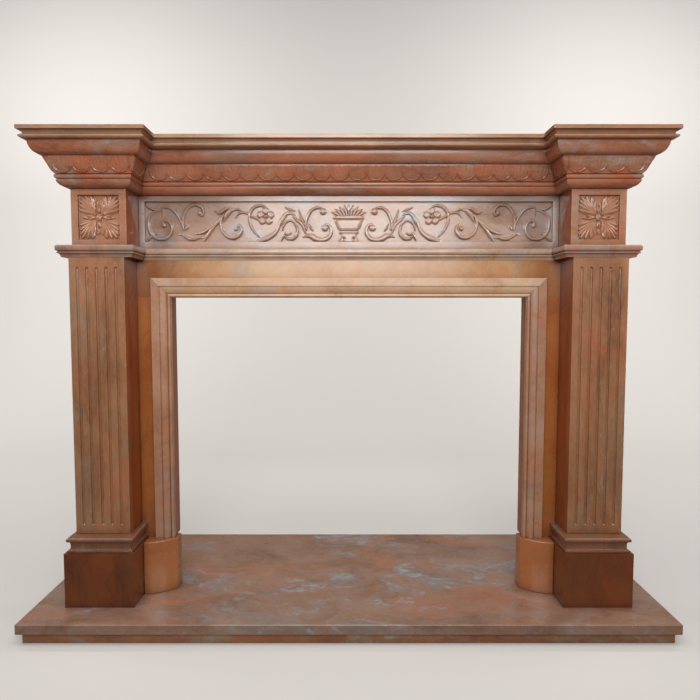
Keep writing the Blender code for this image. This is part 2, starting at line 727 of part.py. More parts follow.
def build_frieze():
    half = SHAFT_INNER - JOINT
    low = (-half, behind(FRIEZE_FRONT), BLOCK_BOTTOM)
    high = (half, behind(WALL_BACK), CORNICE_BOTTOM - JOINT)
    frieze = add_piece("frieze", box(low, high), "frieze")
    panel_half = half - FRIEZE_PANEL_SIDE_MARGIN
    panel_low = BLOCK_BOTTOM + FRIEZE_PANEL_BOTTOM_MARGIN
    panel_high = CORNICE_BOTTOM - FRIEZE_PANEL_TOP_MARGIN
    cut(frieze, sunk_panel("frieze_panel", -panel_half, panel_half, FRIEZE_FRONT, FRIEZE_PANEL_DEPTH,
                           panel_low, panel_high))
    carving = bpy.data.collections.new("frieze_carving")
    CARVING.children.link(carving)
    ground = FRIEZE_FRONT + FRIEZE_PANEL_DEPTH + CARVING_BED
    place = facing_place(0.0, ground, (panel_low + panel_high) / 2)
    half_height = (panel_high - panel_low) / 2
    for side in (-1, 1):
        frieze_strands("frieze_" + side_name(side), place, side, panel_half, half_height, carving)
    urn(half_height, place, carving)
    carve_on(frieze, carving)


def rosette(name, place, half_width, half_height, carving):
    """A button, four hollow petals on the axes and four lobed leaves in the corners."""
    bead(name + "_button", (0.0, 0.0), ROSETTE_BUTTON_RADIUS, carving, place, BLOCK_PANEL_DEPTH)
    reach = min(half_width, half_height)
    for quarter in range(4):
        turn = Matrix.Rotation(math.tau * quarter / 4, 2)

        def at(along, across):
            turned = turn @ Vector((along * reach, across * reach))
            return (turned.x, turned.y)

        for lean in (-1, 1):
            petal = [at(along, across * lean) for along, across in ROSETTE_PETAL]
            radius = STRAND_RADIUS * ROSETTE_PETAL_WIDTH
            strand(f"{name}_petal_{quarter}_{lean}", petal, radius, carving, place)
            for number, (root, tip_along, tip_across) in enumerate(ROSETTE_LOBES):
                start = at(root, root)
                end = at(tip_along, tip_across) if lean > 0 else at(tip_across, tip_along)
                lobe = [start, middle_of(start, end), end]
                radius = STRAND_RADIUS * ROSETTE_LOBE_WIDTH
                strand(f"{name}_lobe_{quarter}_{lean}_{number}", lobe, radius, carving, place)
        rib = [at(along, along) for along in ROSETTE_RIB]
        strand(f"{name}_rib_{quarter}", rib, STRAND_RADIUS * ROSETTE_RIB_WIDTH, carving, place)


def build_block(side):
    low_x, high_x = spread(side, SHAFT_INNER, SHAFT_OUTER)
    low = (low_x, behind(ENTABLATURE_FRONT), BLOCK_BOTTOM)
    high = (high_x, behind(WALL_BACK), CORNICE_BOTTOM - JOINT)
    name = "rosette_block_" + side_name(side)
    block = add_piece(name, box(low, high), "frieze")
    panel_low = BLOCK_BOTTOM + BLOCK_PANEL_END_MARGIN
    panel_high = CORNICE_BOTTOM - BLOCK_PANEL_END_MARGIN
    panel_low_x = low_x + BLOCK_PANEL_SIDE_MARGIN
    panel_high_x = high_x - BLOCK_PANEL_SIDE_MARGIN
    cut(block, sunk_panel(name + "_panel", panel_low_x, panel_high_x, ENTABLATURE_FRONT, BLOCK_PANEL_DEPTH,
                          panel_low, panel_high))
    carving = bpy.data.collections.new(name + "_carving")
    CARVING.children.link(carving)
    ground = ENTABLATURE_FRONT + BLOCK_PANEL_DEPTH + CARVING_BED
    place = facing_place(side * PILASTER_AXIS, ground, (panel_low + panel_high) / 2)
    rosette(name, place, (panel_high_x - panel_low_x) / 2, (panel_high - panel_low) / 2, carving)
    carve_on(block, carving)


def build_panels():
    front = behind(PANEL_FRONT)
    back = behind(WALL_BACK)
    half = SHAFT_INNER - JOINT
    header_low = OPENING_TOP + PANEL_EDGE_SETBACK
    add_piece("fascia_header", box((-half, front, header_low), (half, back, CAP_BOTTOM - JOINT)), "facing")
    for side in (-1, 1):
        low_x, high_x = spread(side, HALF_OPENING + PANEL_EDGE_SETBACK, half)
        panel = box((low_x, front, BASE_BOTTOM), (high_x, back, header_low - JOINT))
        add_piece("jamb_panel_" + side_name(side), panel, "facing")


def frame_section():
    """The frame's section as (distance out from the opening, height in front of the panel)."""
    points = profile_points(FRAME_START, FRAME_MEMBERS)
    face = [(FRAME_WIDTH - across, thickness) for thickness, across in points]
    return [(FRAME_WIDTH, 0.0)] + face + [(0.0, 0.0)]


def build_frame():
    section = frame_section()
    back = behind(PANEL_FRONT) - JOINT
    for side in (-1, 1):
        feet = [(side * (HALF_OPENING + out), back - thick, BASE_BOTTOM) for out, thick in section]
        lift = OPENING_TOP - JOINT
        heads = [(side * (HALF_OPENING + out), back - thick, lift + out) for out, thick in section]
        add_piece("frame_jamb_" + side_name(side), raise_rings([feet, heads]), "facing")
    left = [(-HALF_OPENING - out, back - thick, OPENING_TOP + out) for out, thick in section]
    right = [(HALF_OPENING + out, back - thick, OPENING_TOP + out) for out, thick in section]
    add_piece("frame_header", raise_rings([left, right]), "facing")


def build_frame_plinth(side):
    """A low block whose front curves back towards the opening."""
    inner = HALF_OPENING - FRAME_PLINTH_REVEAL
    outer = PLINTH_INNER - JOINT
    back = behind(PANEL_FRONT + FRAME_PLINTH_BEHIND)
    plan = [(side * outer, back)]
    for step in range(FRAME_PLINTH_CURVE_STEPS + 1):
        share = step / FRAME_PLINTH_CURVE_STEPS
        drop = (FRAME_PLINTH_OUTER_STEP - FRAME_PLINTH_INNER_STEP) * share ** 2
        front = PANEL_FRONT - FRAME_PLINTH_OUTER_STEP + drop
        plan.append((side * (outer + (inner - outer) * share), behind(front)))
    plan.append((side * inner, back))
    rings = [[(x, y, level) for x, y in plan] for level in (HEARTH_TOP, BASE_BOTTOM - JOINT)]
    add_piece("frame_plinth_" + side_name(side), raise_rings(rings), "frame_plinth")


build_hearth()
for pilaster_side in (-1, 1):
    build_plinth(pilaster_side)
    build_base(pilaster_side)
    build_shaft(pilaster_side)
    build_cap(pilaster_side)
    build_block(pilaster_side)
    build_frame_plinth(pilaster_side)
build_architrave()
build_frieze()
build_cornice()
build_shelf()
build_panels()
build_frame()
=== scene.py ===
"""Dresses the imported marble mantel: fine mouldings, carved reliefs, marble, studio and camera."""
import math

import bmesh
import bpy
import numpy as np
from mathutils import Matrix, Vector


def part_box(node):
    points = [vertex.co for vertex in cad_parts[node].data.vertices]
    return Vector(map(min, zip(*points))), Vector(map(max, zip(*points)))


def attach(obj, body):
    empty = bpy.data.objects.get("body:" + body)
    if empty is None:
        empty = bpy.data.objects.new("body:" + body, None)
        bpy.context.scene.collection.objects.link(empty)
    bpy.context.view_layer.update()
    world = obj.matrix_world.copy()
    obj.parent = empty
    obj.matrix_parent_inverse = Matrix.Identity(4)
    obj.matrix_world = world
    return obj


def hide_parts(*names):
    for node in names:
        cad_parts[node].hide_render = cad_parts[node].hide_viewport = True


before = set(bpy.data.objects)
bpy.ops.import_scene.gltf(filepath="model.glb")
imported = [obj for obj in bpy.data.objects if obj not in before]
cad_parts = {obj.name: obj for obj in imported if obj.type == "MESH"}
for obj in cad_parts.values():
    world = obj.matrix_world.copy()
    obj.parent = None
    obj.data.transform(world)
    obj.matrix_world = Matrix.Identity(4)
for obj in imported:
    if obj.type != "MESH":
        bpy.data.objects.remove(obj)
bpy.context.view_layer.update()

# Sizes that the solids share, in metres; distances behind the hearth's front edge become Y by behind()
HEARTH_DEPTH = 0.585
JOINT = 0.0003
WALL_BACK = 0.252
PILASTER_AXIS = 0.7405
SHAFT_HALF = 0.0815
SHAFT_OUTER = PILASTER_AXIS + SHAFT_HALF
SHAFT_INNER = PILASTER_AXIS - SHAFT_HALF
ENTABLATURE_FRONT = 0.139
CENTRE_SETBACK = 0.088
SHELF_SETBACK = 0.073
FRIEZE_FRONT = ENTABLATURE_FRONT + CENTRE_SETBACK
BASE_NECK_FRONT = 0.106
PANEL_FRONT = 0.206
HALF_OPENING = 0.5515
OPENING_TOP = 0.985

# Moulding members from the bottom up: kind, change of projection (or bulge), height
BASE_START = 0.0145
BASE_MEMBERS = (
    ("line", 0.0, 0.0055),
    ("line", -0.003, 0.0005),
    ("round", -0.0035, 0.0245),
    ("line", 0.001, 0.0005),
    ("round", 0.0045, 0.0125),
    ("line", -0.0125, 0.0038),
)
CAP_START = 0.0220
CAP_MEMBERS = (
    ("cove", 0.0075, 0.0110),
    ("line", 0.0, 0.0040),
    ("line", -0.0020, 0.0005),
    ("line", 0.0, 0.0018),
    ("line", 0.0035, 0.0005),
    ("round", 0.0020, 0.0150),
    ("line", -0.0010, 0.0020),
)
CORNICE_START = 0.002
CORNICE_FOOT_MEMBERS = (
    ("ovolo", 0.0250, 0.0195),
    ("line", -0.0025, 0.0005),
    ("line", 0.0, 0.0012),
    ("round", 0.0060, 0.0138),
    ("line", 0.0045, 0.0005),
)
LEAF_BAND_OUT = 0.0200
LEAF_BAND_RISE = 0.0430
CORNICE_HEAD_MEMBERS = (
    ("line", 0.0, 0.0030),
    ("line", 0.0065, 0.0005),
    ("ovolo", 0.0210, 0.0345),
)
SHELF_START = 0.0845
SHELF_MEMBERS = (
    ("round", 0.0070, 0.0108),
    ("line", -0.0010, 0.0006),
    ("cove", 0.0085, 0.0110),
    ("line", 0.0040, 0.0003),
    ("line", 0.0, 0.0095),
    ("line", -0.0015, 0.0015),
)
# Members of the frame from its outer edge inwards: kind, change of thickness (or bulge), width
FRAME_START = 0.016
FRAME_MEMBERS = (
    ("line", 0.0, 0.0245),
    ("line", -0.0030, 0.0008),
    ("line", 0.0, 0.0022),
    ("line", 0.0015, 0.0006),
    ("line", -0.0006, 0.0046),
    ("line", -0.0014, 0.0046),
    ("line", -0.0022, 0.0046),
    ("line", -0.0028, 0.0046),
    ("line", -0.0015, 0.0005),
    ("line", 0.0, 0.0010),
    ("line", 0.0020, 0.0005),
    ("round", 0.0045, 0.0095),
    ("line", -0.0030, 0.0010),
    ("line", 0.0, 0.0010),
)
FRAME_WIDTH = sum(rise for _, _, rise in FRAME_MEMBERS)
FRAME_ARRIS = 0.0004
FRAME_PLINTH_OUTER_FRONT = 0.157
FRAME_PLINTH_INNER_FRONT = 0.193
FRAME_PLINTH_STEPS = 36
QUARTER_STEPS = 9
ROUND_STEPS = 14
ARRIS = 0.0006
PLAIN_ARRIS = 0.0012
SIDES = ((-1, "left"), (1, "right"))

# Leaf band, in metres
LEAF_PITCH = 0.0552
LEAF_RISE = 0.0040
LEAF_COLUMN = 0.0021
LEAF_ROWS = 30
CORNER_LEAF_LEAST = 0.0005

# One leaf, in shares of half a pitch across, of the band's height up, and of LEAF_RISE
LEAF_ROUND_CENTRE = 0.48
LEAF_ROUND_RISE = 0.43
LEAF_RIM_PLACE = 0.90
LEAF_RIM_WIDTH = 0.075
LEAF_RIM_LEAST = 0.35
LEAF_BODY_REACH = 0.80
LEAF_BODY_HEIGHT = 0.62
LEAF_NOTCH_WIDTH = 0.06
LEAF_NOTCH_SPREAD = 0.20
LEAF_NOTCH_DEPTH = 0.55
LEAF_FOLD_PLACE = 0.42
LEAF_FOLD_WIDTH = 0.10
LEAF_FOLD_DEPTH = 0.25
LEAF_SINK_START = 0.68
LEAF_SINK_DEPTH = 0.9

# Flutes, in metres
FLUTE_RADIUS = 0.0044
FLUTE_DEPTH = 0.0034
FLUTE_PITCH = 0.0282
FLUTE_ABOVE_FOOT = 0.026
FLUTE_BELOW_TOP = 0.029
FLUTES_EACH_SIDE = 2
FLUTE_LINES = 15
FLUTE_LIP = 0.0003

# Reliefs, in millimetres
MM = 0.001
FRIEZE_STEP = 1.42
FRIEZE_DEPTH = 8.0
FRIEZE_SIDE_MARGIN = 18.5
FRIEZE_TOP_MARGIN = 18.5
FRIEZE_BOTTOM_MARGIN = 25.5
BLOCK_STEP = 0.85
BLOCK_DEPTH = 6.5
BLOCK_SIDE_MARGIN = 20.5
BLOCK_END_MARGIN = 19.0
EDGE_ROUND = 0.8
# Grid lines behind each edge, and how far the carving stays under the slab's face
EDGE_LINES = (0.0, 0.2, 0.5, 0.9)
PANEL_WALL = 0.2
FACE_GAP = 0.3


def behind(distance):
    """Y of a plane that lies this far behind the hearth's front edge."""
    return distance - HEARTH_DEPTH / 2


def profile_points(start, members):
    """The points of a moulding as (projection, height above its foot)."""
    projection = start
    height = 0.0
    points = [(projection, height)]
    for kind, out, rise in members:
        if kind == "line":
            steps = [(out, rise)]
        elif kind == "cove":
            angles = [math.pi / 2 * step / QUARTER_STEPS for step in range(1, QUARTER_STEPS + 1)]
            steps = [(out * (1 - math.cos(angle)), rise * math.sin(angle)) for angle in angles]
        elif kind == "ovolo":
            angles = [math.pi / 2 * step / QUARTER_STEPS for step in range(1, QUARTER_STEPS + 1)]
            steps = [(out * math.sin(angle), rise * (1 - math.cos(angle))) for angle in angles]
        else:
            angles = [math.pi * step / ROUND_STEPS for step in range(1, ROUND_STEPS + 1)]
            steps = [(out * math.sin(angle), rise * (1 - math.cos(angle)) / 2) for angle in angles]
        points += [(projection + step_out, height + step_rise) for step_out, step_rise in steps]
        projection += 0.0 if kind == "round" else out
        height += rise
    return points


def lowered_top(points):
    """The same points with the top lower by a joint, clear of the stone above."""
    projection, height = points[-1]
    return points[:-1] + [(projection, height - JOINT)]


def new_piece(name, points, faces, node, kind, sharp=32.0):
    """A closed mesh that stands for a CAD node, smooth except at its edges, in that node's marble."""
    mesh = bpy.data.meshes.new(name)
    mesh.from_pydata(points, [], faces)
    tool = bmesh.new()
    tool.from_mesh(mesh)
    bmesh.ops.recalc_face_normals(tool, faces=tool.faces)
    tool.to_mesh(mesh)
    tool.free()
    mesh.shade_smooth()
    mesh.set_sharp_from_angle(angle=math.radians(sharp))
    piece = bpy.data.objects.new(name, mesh)
    bpy.context.scene.collection.objects.link(piece)
    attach(piece, "root")
    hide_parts(node)
    mesh.materials.append(marble(kind, node))
    return piece


def bevel(piece, width=ARRIS, segments=2):
    modifier = piece.modifiers.new("worn edges", "BEVEL")
    modifier.width = width
    modifier.segments = segments
    modifier.limit_method = "ANGLE"
    modifier.angle_limit = math.radians(30.0)
    modifier.use_clamp_overlap = True


def ring_faces(count, rings):
    """Quads between rings of equally many points, with a face at each end."""
    faces = []
    for ring in range(rings - 1):
        base = ring * count
        for index in range(count):
            after = (index + 1) % count
            faces.append((base + index, base + after, base + count + after, base + count + index))
    faces.append(tuple(range(count)))
    faces.append(tuple(range((rings - 1) * count, rings * count)))
    return faces


def grid_faces(rows, columns):
    """Quads between the points of a grid that are listed row by row."""
    firsts = [row * columns + column for row in range(rows - 1) for column in range(columns - 1)]
    return [(first, first + 1, first + columns + 1, first + columns) for first in firsts]


def carved_slab(name, front, node, kind, sharp):
    """A block whose front is a grid of points and whose other sides are flat."""
    low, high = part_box(node)
    rows, columns = front.shape[:2]
    points = front.reshape(-1, 3).tolist()
    corner = len(points)
    points += [(low[0], high[1], low[2]), (high[0], high[1], low[2])]
    points += [(high[0], high[1], high[2]), (low[0], high[1], high[2])]
    top = (rows - 1) * columns
    faces = grid_faces(rows, columns)
    faces.append(tuple(range(columns)) + (corner + 1, corner))
    faces.append(tuple(range(top, top + columns)) + (corner + 2, corner + 3))
    faces.append(tuple(row * columns for row in range(rows)) + (corner + 3, corner))
    faces.append(tuple(row * columns + columns - 1 for row in range(rows)) + (corner + 2, corner + 1))
    faces.append((corner, corner + 1, corner + 2, corner + 3))
    new_piece(name, points, faces, node, kind, sharp)


def to_edge(x, z):
    """How far each point of a grid is from the grid's edge."""
    return np.minimum(np.minimum(x - x.min(), x.max() - x), np.minimum(z - z.min(), z.max() - z))


def rounding(distance, size):
    """How far a rounded edge falls back at this distance from the edge."""
    near = np.clip(distance, 0, size)
    return size - np.sqrt(size ** 2 - (size - near) ** 2)


def sweep(name, outline, profile, node, kind):
    """A moulding round a plan outline, as a closed piece."""
    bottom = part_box(node)[0][2]
    points = []
    for projection, height in profile:
        points += [(x, y, bottom + height) for x, y in outline(projection)]
    count = len(outline(0.0))
    bevel(new_piece(name, points, ring_faces(count, len(profile)), node, kind))


# Marble

# Dark, middle, light, grey cloud and warm patch colours, in 0 to 255
TONES = {
    "frieze": ((150, 98, 68), (178, 128, 98), (196, 152, 128), (168, 160, 156), (192, 120, 80)),
    "pilaster": ((108, 66, 42), (142, 92, 62), (164, 112, 82), (122, 106, 86), (172, 92, 58)),
    "cornice": ((108, 60, 42), (142, 84, 60), (166, 106, 82), (124, 106, 94), (172, 82, 54)),
    "facing": ((158, 100, 62), (184, 128, 88), (198, 148, 112), (160, 138, 118), (190, 116, 74)),
    "frame_plinth": ((140, 84, 54), (152, 94, 62), (162, 106, 74), (142, 104, 80), (160, 92, 58)),
    "hearth": ((108, 66, 46), (140, 90, 66), (158, 112, 88), (128, 116, 108), (174, 88, 50)),
}
WISP = (176, 180, 188)
# Shares of grey cloud and of pale wisps, and the stretch of the pattern
PATTERNS = {
    "frieze": (0.70, 0.45, (1.0, 1.0, 2.0)),
    "pilaster": (0.60, 0.22, (2.0, 2.0, 0.7)),
    "cornice": (0.62, 0.25, (0.8, 1.6, 2.2)),
    "facing": (0.45, 0.25, (1.1, 1.1, 1.1)),
    "frame_plinth": (0.20, 0.10, (1.0, 1.0, 1.0)),
    "hearth": (0.60, 0.50, (0.8, 1.5, 1.5)),
}
# How each slab is moved along x, y and z through the pattern: step and period; and how the pattern lies
SLAB_MOVES = ((0.37, 11.0), (0.71, 13.0), (0.53, 7.0))
BEDDING = (0.3, 0.55, 0.4)
# Noises: scale, detail, roughness and distortion
WARP = (3.0, 5.0, 0.6)
GROUND = (6.0, 8.0, 0.60, 0.3)
PATCHES = (4.2, 6.0, 0.55, 0.4)
CLOUDS = (3.4, 7.0, 0.62, 0.5)
WISPS = (5.0, 7.0, 0.6, 0.8)
VEINS = (12.0, 7.0, 0.6, 0.5)
MOTTLE = (48.0, 5.0, 0.65)
FLECKS = (110.0, 3.0, 0.7)
POLISH = (14.0, 5.0, 0.6)
GRAIN = (120.0, 4.0, 0.6)
FLOOR_SHADE = (0.8, 3.0)
# How far the warp bends the pattern, and the clouds again
FLOW_BEND = 0.45
CLOUD_BEND = 0.8
GROUND_STOPS = (0.30, 0.50, 0.70)
# Grades: the values a layer changes between, then its shares at both
PATCH_GRADE = (0.52, 0.70, 0.0, 0.75)
CLOUD_GRADE = (0.48, 0.66, 0.0)
WISP_GRADE = (0.0, 0.06)
WISP_CLOUD_GRADE = (0.54, 0.68)
VEIN_GRADE = (0.0, 0.015, 0.22, 0.0)
MOTTLE_GRADE = (0.35, 0.65, 0.0, 0.35)
FLECK_GRADE = (0.62, 0.76, 0.0, 0.35)
HEADER_END_SHADE_GRADE = (0.50, 0.60)
LOWER_SHADE_GRADE = (0.25, 1.10, 0.50, 0.0)
SIDE_SHADE_GRADE = (0.85, 0.97)
RECESS_SHADE_GRADE = (0.30, 0.92, 0.75, 0.0)
ROUGHNESS_GRADE = (0.3, 0.7, 0.26, 0.40)
RECESS_SHADE_REACH = 0.035
RECESS_SHADE_SAMPLES = 6
# Tints in linear light: painted shade, darker and warmer in recesses where shade falls
RECESS_SHADE_TINT = (0.42, 0.30, 0.24)
# Painted shade: the header's ends are darker and warmer, to match the panels under them
END_SHADE_TINT = (0.62, 0.42, 0.24)
# Painted shade: the slabs' sides that face left or right are darker and warmer
SIDE_SHADE_TINT = (0.80, 0.42, 0.22)
SIDE_SHADED = ("rosette", "pilaster_shaft", "cornice", "mantel_shelf")
# Painted shade: the stone grows darker and warmer towards the floor
LOWER_SHADE_TINT = (0.72, 0.66, 0.58)
# How much paler, darker or warmer each slab is than its kind: partly its own tone, partly painted light and
# shade
SLAB_TONE_AND_SHADE = {
    "cornice": (1.65, 1.75, 1.65),
    "mantel_shelf": (1.55, 2.35, 2.40),
    "frieze": (0.70, 0.85, 1.00),
    "rosette_block": (0.90, 0.75, 0.60),
    "architrave_moulding": (1.15, 1.55, 2.10),
    "fascia_header": (1.20, 1.35, 1.25),
    "frame_header": (1.45, 1.90, 2.35),
    "jamb_panel": (0.95, 0.65, 0.30),
    "frame_jamb": (1.05, 1.15, 1.40),
    "pilaster_cap": (1.25, 1.70, 2.40),
    "pilaster_shaft": (1.25, 1.35, 1.30),
    "pilaster_base": (0.80, 0.85, 0.90),
    "pilaster_plinth": (0.60, 0.35, 0.12),
    "frame_plinth": (1.40, 1.40, 1.10),
    "hearth_slab": (1.10, 1.50, 1.80),
    "hearth_base_course": (1.55, 1.70, 1.40),
}


def linear(colour):
    """A display colour in 0 to 255 as linear light, with alpha."""
    shares = [channel / 255 for channel in colour]
    return tuple(c / 12.92 if c <= 0.04045 else ((c + 0.055) / 1.055) ** 2.4 for c in shares) + (1.0,)


class Graph:
    """Short calls for building one node tree."""

    def __init__(self, material):
        self.nodes = material.node_tree.nodes
        self.links = material.node_tree.links
        self.shader = self.nodes["Principled BSDF"]

    def feed(self, socket, value):
        if isinstance(value, bpy.types.NodeSocket):
            self.links.new(value, socket)
        else:
            socket.default_value = value

    def noise(self, vector, scale, detail, roughness=0.55, distortion=0.0):
        """The outputs of a noise, Fac and Color."""
        node = self.nodes.new("ShaderNodeTexNoise")
        self.feed(node.inputs["Vector"], vector)
        node.inputs["Scale"].default_value = scale
        node.inputs["Detail"].default_value = detail
        node.inputs["Roughness"].default_value = roughness
        node.inputs["Distortion"].default_value = distortion
        return node.outputs

    def line_distance(self, vector, noise):
        """How far a noise is from its middle value. It is near 0 along thin winding lines."""
        return self.maths("ABSOLUTE", self.maths("SUBTRACT", self.noise(vector, *noise)["Fac"], 0.5))

    def ramp(self, value, stops):
        node = self.nodes.new("ShaderNodeValToRGB")
        self.feed(node.inputs["Fac"], value)
        band = node.color_ramp
        while len(band.elements) < len(stops):
            band.elements.new(0.5)
        for element, (position, colour) in zip(band.elements, stops):
            element.position = position
            element.color = colour
        return node.outputs["Color"]

    def grade(self, value, low, high, start=0.0, end=1.0):
        node = self.nodes.new("ShaderNodeMapRange")
        self.feed(node.inputs["Value"], value)
        node.inputs["From Min"].default_value = low
        node.inputs["From Max"].default_value = high
        node.inputs["To Min"].default_value = start
        node.inputs["To Max"].default_value = end
        return node.outputs["Result"]

    def mix(self, share, first, second, blend="MIX"):
        node = self.nodes.new("ShaderNodeMix")
        node.data_type = "RGBA"
        node.blend_type = blend
        self.feed(node.inputs[0], share)
        self.feed(node.inputs[6], first)
        self.feed(node.inputs[7], second)
        return node.outputs[2]

    def tint(self, share, colour, factor):
        """The colour times a factor in linear light, by a share."""
        return self.mix(share, colour, self.mix(1.0, colour, factor + (1.0,), "MULTIPLY"))

    def part(self, vector, axis):
        node = self.nodes.new("ShaderNodeSeparateXYZ")
        self.feed(node.inputs[0], vector)
        return node.outputs[axis]

    def maths(self, operation, first, second=0.0):
        node = self.nodes.new("ShaderNodeMath")
        node.operation = operation
        self.feed(node.inputs[0], first)
        self.feed(node.inputs[1], second)
        return node.outputs[0]

    def add_vectors(self, first, second, scale):
        grown = self.nodes.new("ShaderNodeVectorMath")
        grown.operation = "MULTIPLY_ADD"
        self.feed(grown.inputs[0], second)
        grown.inputs[1].default_value = (scale, scale, scale)
        self.feed(grown.inputs[2], first)
        return grown.outputs[0]


def place_slab(graph, coordinates, node, stretch):
    """The pattern's coordinates in this slab, each slab from another place in the pattern."""
    place = graph.nodes.new("ShaderNodeMapping")
    graph.links.new(coordinates, place.inputs["Vector"])
    seed = sum(ord(letter) * (index + 3) for index, letter in enumerate(node))
    place.inputs["Location"].default_value = [seed * step % period for step, period in SLAB_MOVES]
    place.inputs["Rotation"].default_value = BEDDING
    place.inputs["Scale"].default_value = stretch
    return place.outputs["Vector"]


def stone_colour(graph, kind, base, warp, flow):
    """Soft patches, grey clouds, pale wisps, dark veins, mottle and flecks."""
    dark, middle, light, cloud, warm = [linear(colour) for colour in TONES[kind]]
    cloud_share, wisp_share, _ = PATTERNS[kind]
    ground = graph.noise(flow, *GROUND)["Fac"]
    colour = graph.ramp(ground, list(zip(GROUND_STOPS, (dark, middle, light))))
    patches = graph.noise(flow, *PATCHES)["Fac"]
    colour = graph.mix(graph.grade(patches, *PATCH_GRADE), colour, warm)
    clouds = graph.noise(graph.add_vectors(flow, warp, CLOUD_BEND), *CLOUDS)["Fac"]
    colour = graph.mix(graph.grade(clouds, *CLOUD_GRADE, cloud_share), colour, cloud)
    wisps = graph.grade(graph.line_distance(flow, WISPS), *WISP_GRADE, wisp_share, 0.0)
    wisps = graph.maths("MULTIPLY", wisps, graph.grade(clouds, *WISP_CLOUD_GRADE))
    colour = graph.mix(wisps, colour, linear(WISP))
    veins = graph.line_distance(flow, VEINS)
    colour = graph.mix(graph.grade(veins, *VEIN_GRADE), colour, dark)
    mottle = graph.noise(flow, *MOTTLE)["Fac"]
    colour = graph.mix(graph.grade(mottle, *MOTTLE_GRADE), colour, light)
    flecks = graph.noise(base, *FLECKS)["Fac"]
    return graph.mix(graph.grade(flecks, *FLECK_GRADE), colour, linear(WISP))


def tinted_colour(graph, kind, node, coordinates, colour):
    """The slab's tone with its painted light and shade, then painted shade: darker and warmer ends, feet,
    sides and recesses.
    """
    # Each slab's tone, partly painted light and shade
    colour = graph.tint(1.0, colour, SLAB_TONE_AND_SHADE[node.removesuffix("_left").removesuffix("_right")])
    # Painted shade at the header's ends
    if node == "fascia_header":
        along = graph.maths("ABSOLUTE", graph.part(coordinates, "X"))
        colour = graph.tint(graph.grade(along, *HEADER_END_SHADE_GRADE), colour, END_SHADE_TINT)
    # Painted shade towards the floor
    if kind != "hearth":
        colour = graph.tint(graph.grade(graph.part(coordinates, "Z"), *LOWER_SHADE_GRADE), colour, LOWER_SHADE_TINT)
    # Painted shade on the sides
    if node.startswith(SIDE_SHADED):
        normal = graph.nodes.new("ShaderNodeNewGeometry").outputs["True Normal"]
        aside = graph.maths("ABSOLUTE", graph.part(normal, "X"))
        colour = graph.tint(graph.grade(aside, *SIDE_SHADE_GRADE), colour, SIDE_SHADE_TINT)
    # Painted shade in recesses, from ambient occlusion
    recess_shade = graph.nodes.new("ShaderNodeAmbientOcclusion")
    recess_shade.samples = RECESS_SHADE_SAMPLES
    recess_shade.inputs["Distance"].default_value = RECESS_SHADE_REACH
    return graph.tint(graph.grade(recess_shade.outputs["AO"], *RECESS_SHADE_GRADE), colour, RECESS_SHADE_TINT)


def marble(kind, node):
    """Polished marble of this kind for one slab."""
    name = f"{kind}_{node}"
    if name in bpy.data.materials:
        return bpy.data.materials[name]
    material = bpy.data.materials.new(name)
    material.use_nodes = True
    graph = Graph(material)
    coordinates = graph.nodes.new("ShaderNodeTexCoord").outputs["Object"]
    base = place_slab(graph, coordinates, node, PATTERNS[kind][2])
    warp = graph.noise(base, *WARP)["Color"]
    flow = graph.add_vectors(base, warp, FLOW_BEND)
    colour = stone_colour(graph, kind, base, warp, flow)
    graph.feed(graph.shader.inputs["Base Color"], tinted_colour(graph, kind, node, coordinates, colour))
    polish = graph.noise(flow, *POLISH)["Fac"]
    graph.feed(graph.shader.inputs["Roughness"], graph.grade(polish, *ROUGHNESS_GRADE))
    graph.shader.inputs["IOR"].default_value = 1.5
    graph.shader.inputs["Coat Weight"].default_value = 0.9
    graph.shader.inputs["Coat Roughness"].default_value = 0.18
    bump = graph.nodes.new("ShaderNodeBump")
    bump.inputs["Strength"].default_value = 0.10
    bump.inputs["Distance"].default_value = 0.0004
    graph.feed(bump.inputs["Height"], graph.noise(base, *GRAIN)["Fac"])
    graph.feed(graph.shader.inputs["Normal"], bump.outputs["Normal"])
    return material


# Plain pieces keep their solids

def dress_plain_nodes():
    kinds = {
        "hearth_base_course": "hearth",
        "hearth_slab": "hearth",
        "pilaster_plinth_left": "pilaster",
        "pilaster_plinth_right": "pilaster",
        "fascia_header": "facing",
        "jamb_panel_left": "facing",
        "jamb_panel_right": "facing",
    }
    for node, kind in kinds.items():
        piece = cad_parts[node]
        piece.data.materials.clear()
        piece.data.materials.append(marble(kind, node))
        bevel(piece, PLAIN_ARRIS)


# Mouldings

def breakfront(setback):
    """The plan of the shelf and cornice, with its middle set back from the wings."""
    def outline(projection):
        outer = SHAFT_OUTER + projection
        inner = SHAFT_INNER - projection
        back = behind(WALL_BACK)
        wing = behind(ENTABLATURE_FRONT - projection)
        right = [(inner, wing + setback), (inner, wing), (outer, wing), (outer, back)]
        return [(-x, y) for x, y in reversed(right)] + right

    return outline


def make_base(side, word):
    node = "pilaster_base_" + word

    def outline(projection):
        outer = side * (SHAFT_OUTER + projection)
        inner = side * (SHAFT_INNER - projection)
        front = behind(BASE_NECK_FRONT - projection)
        panel = behind(PANEL_FRONT) - JOINT
        back = behind(WALL_BACK)
        shaft = side * SHAFT_INNER
        return [(outer, back), (outer, front), (inner, front), (inner, panel), (shaft, panel), (shaft, back)]

    profile = lowered_top(profile_points(BASE_START, BASE_MEMBERS))
    sweep("base_moulding_" + word, outline, profile, node, "pilaster")


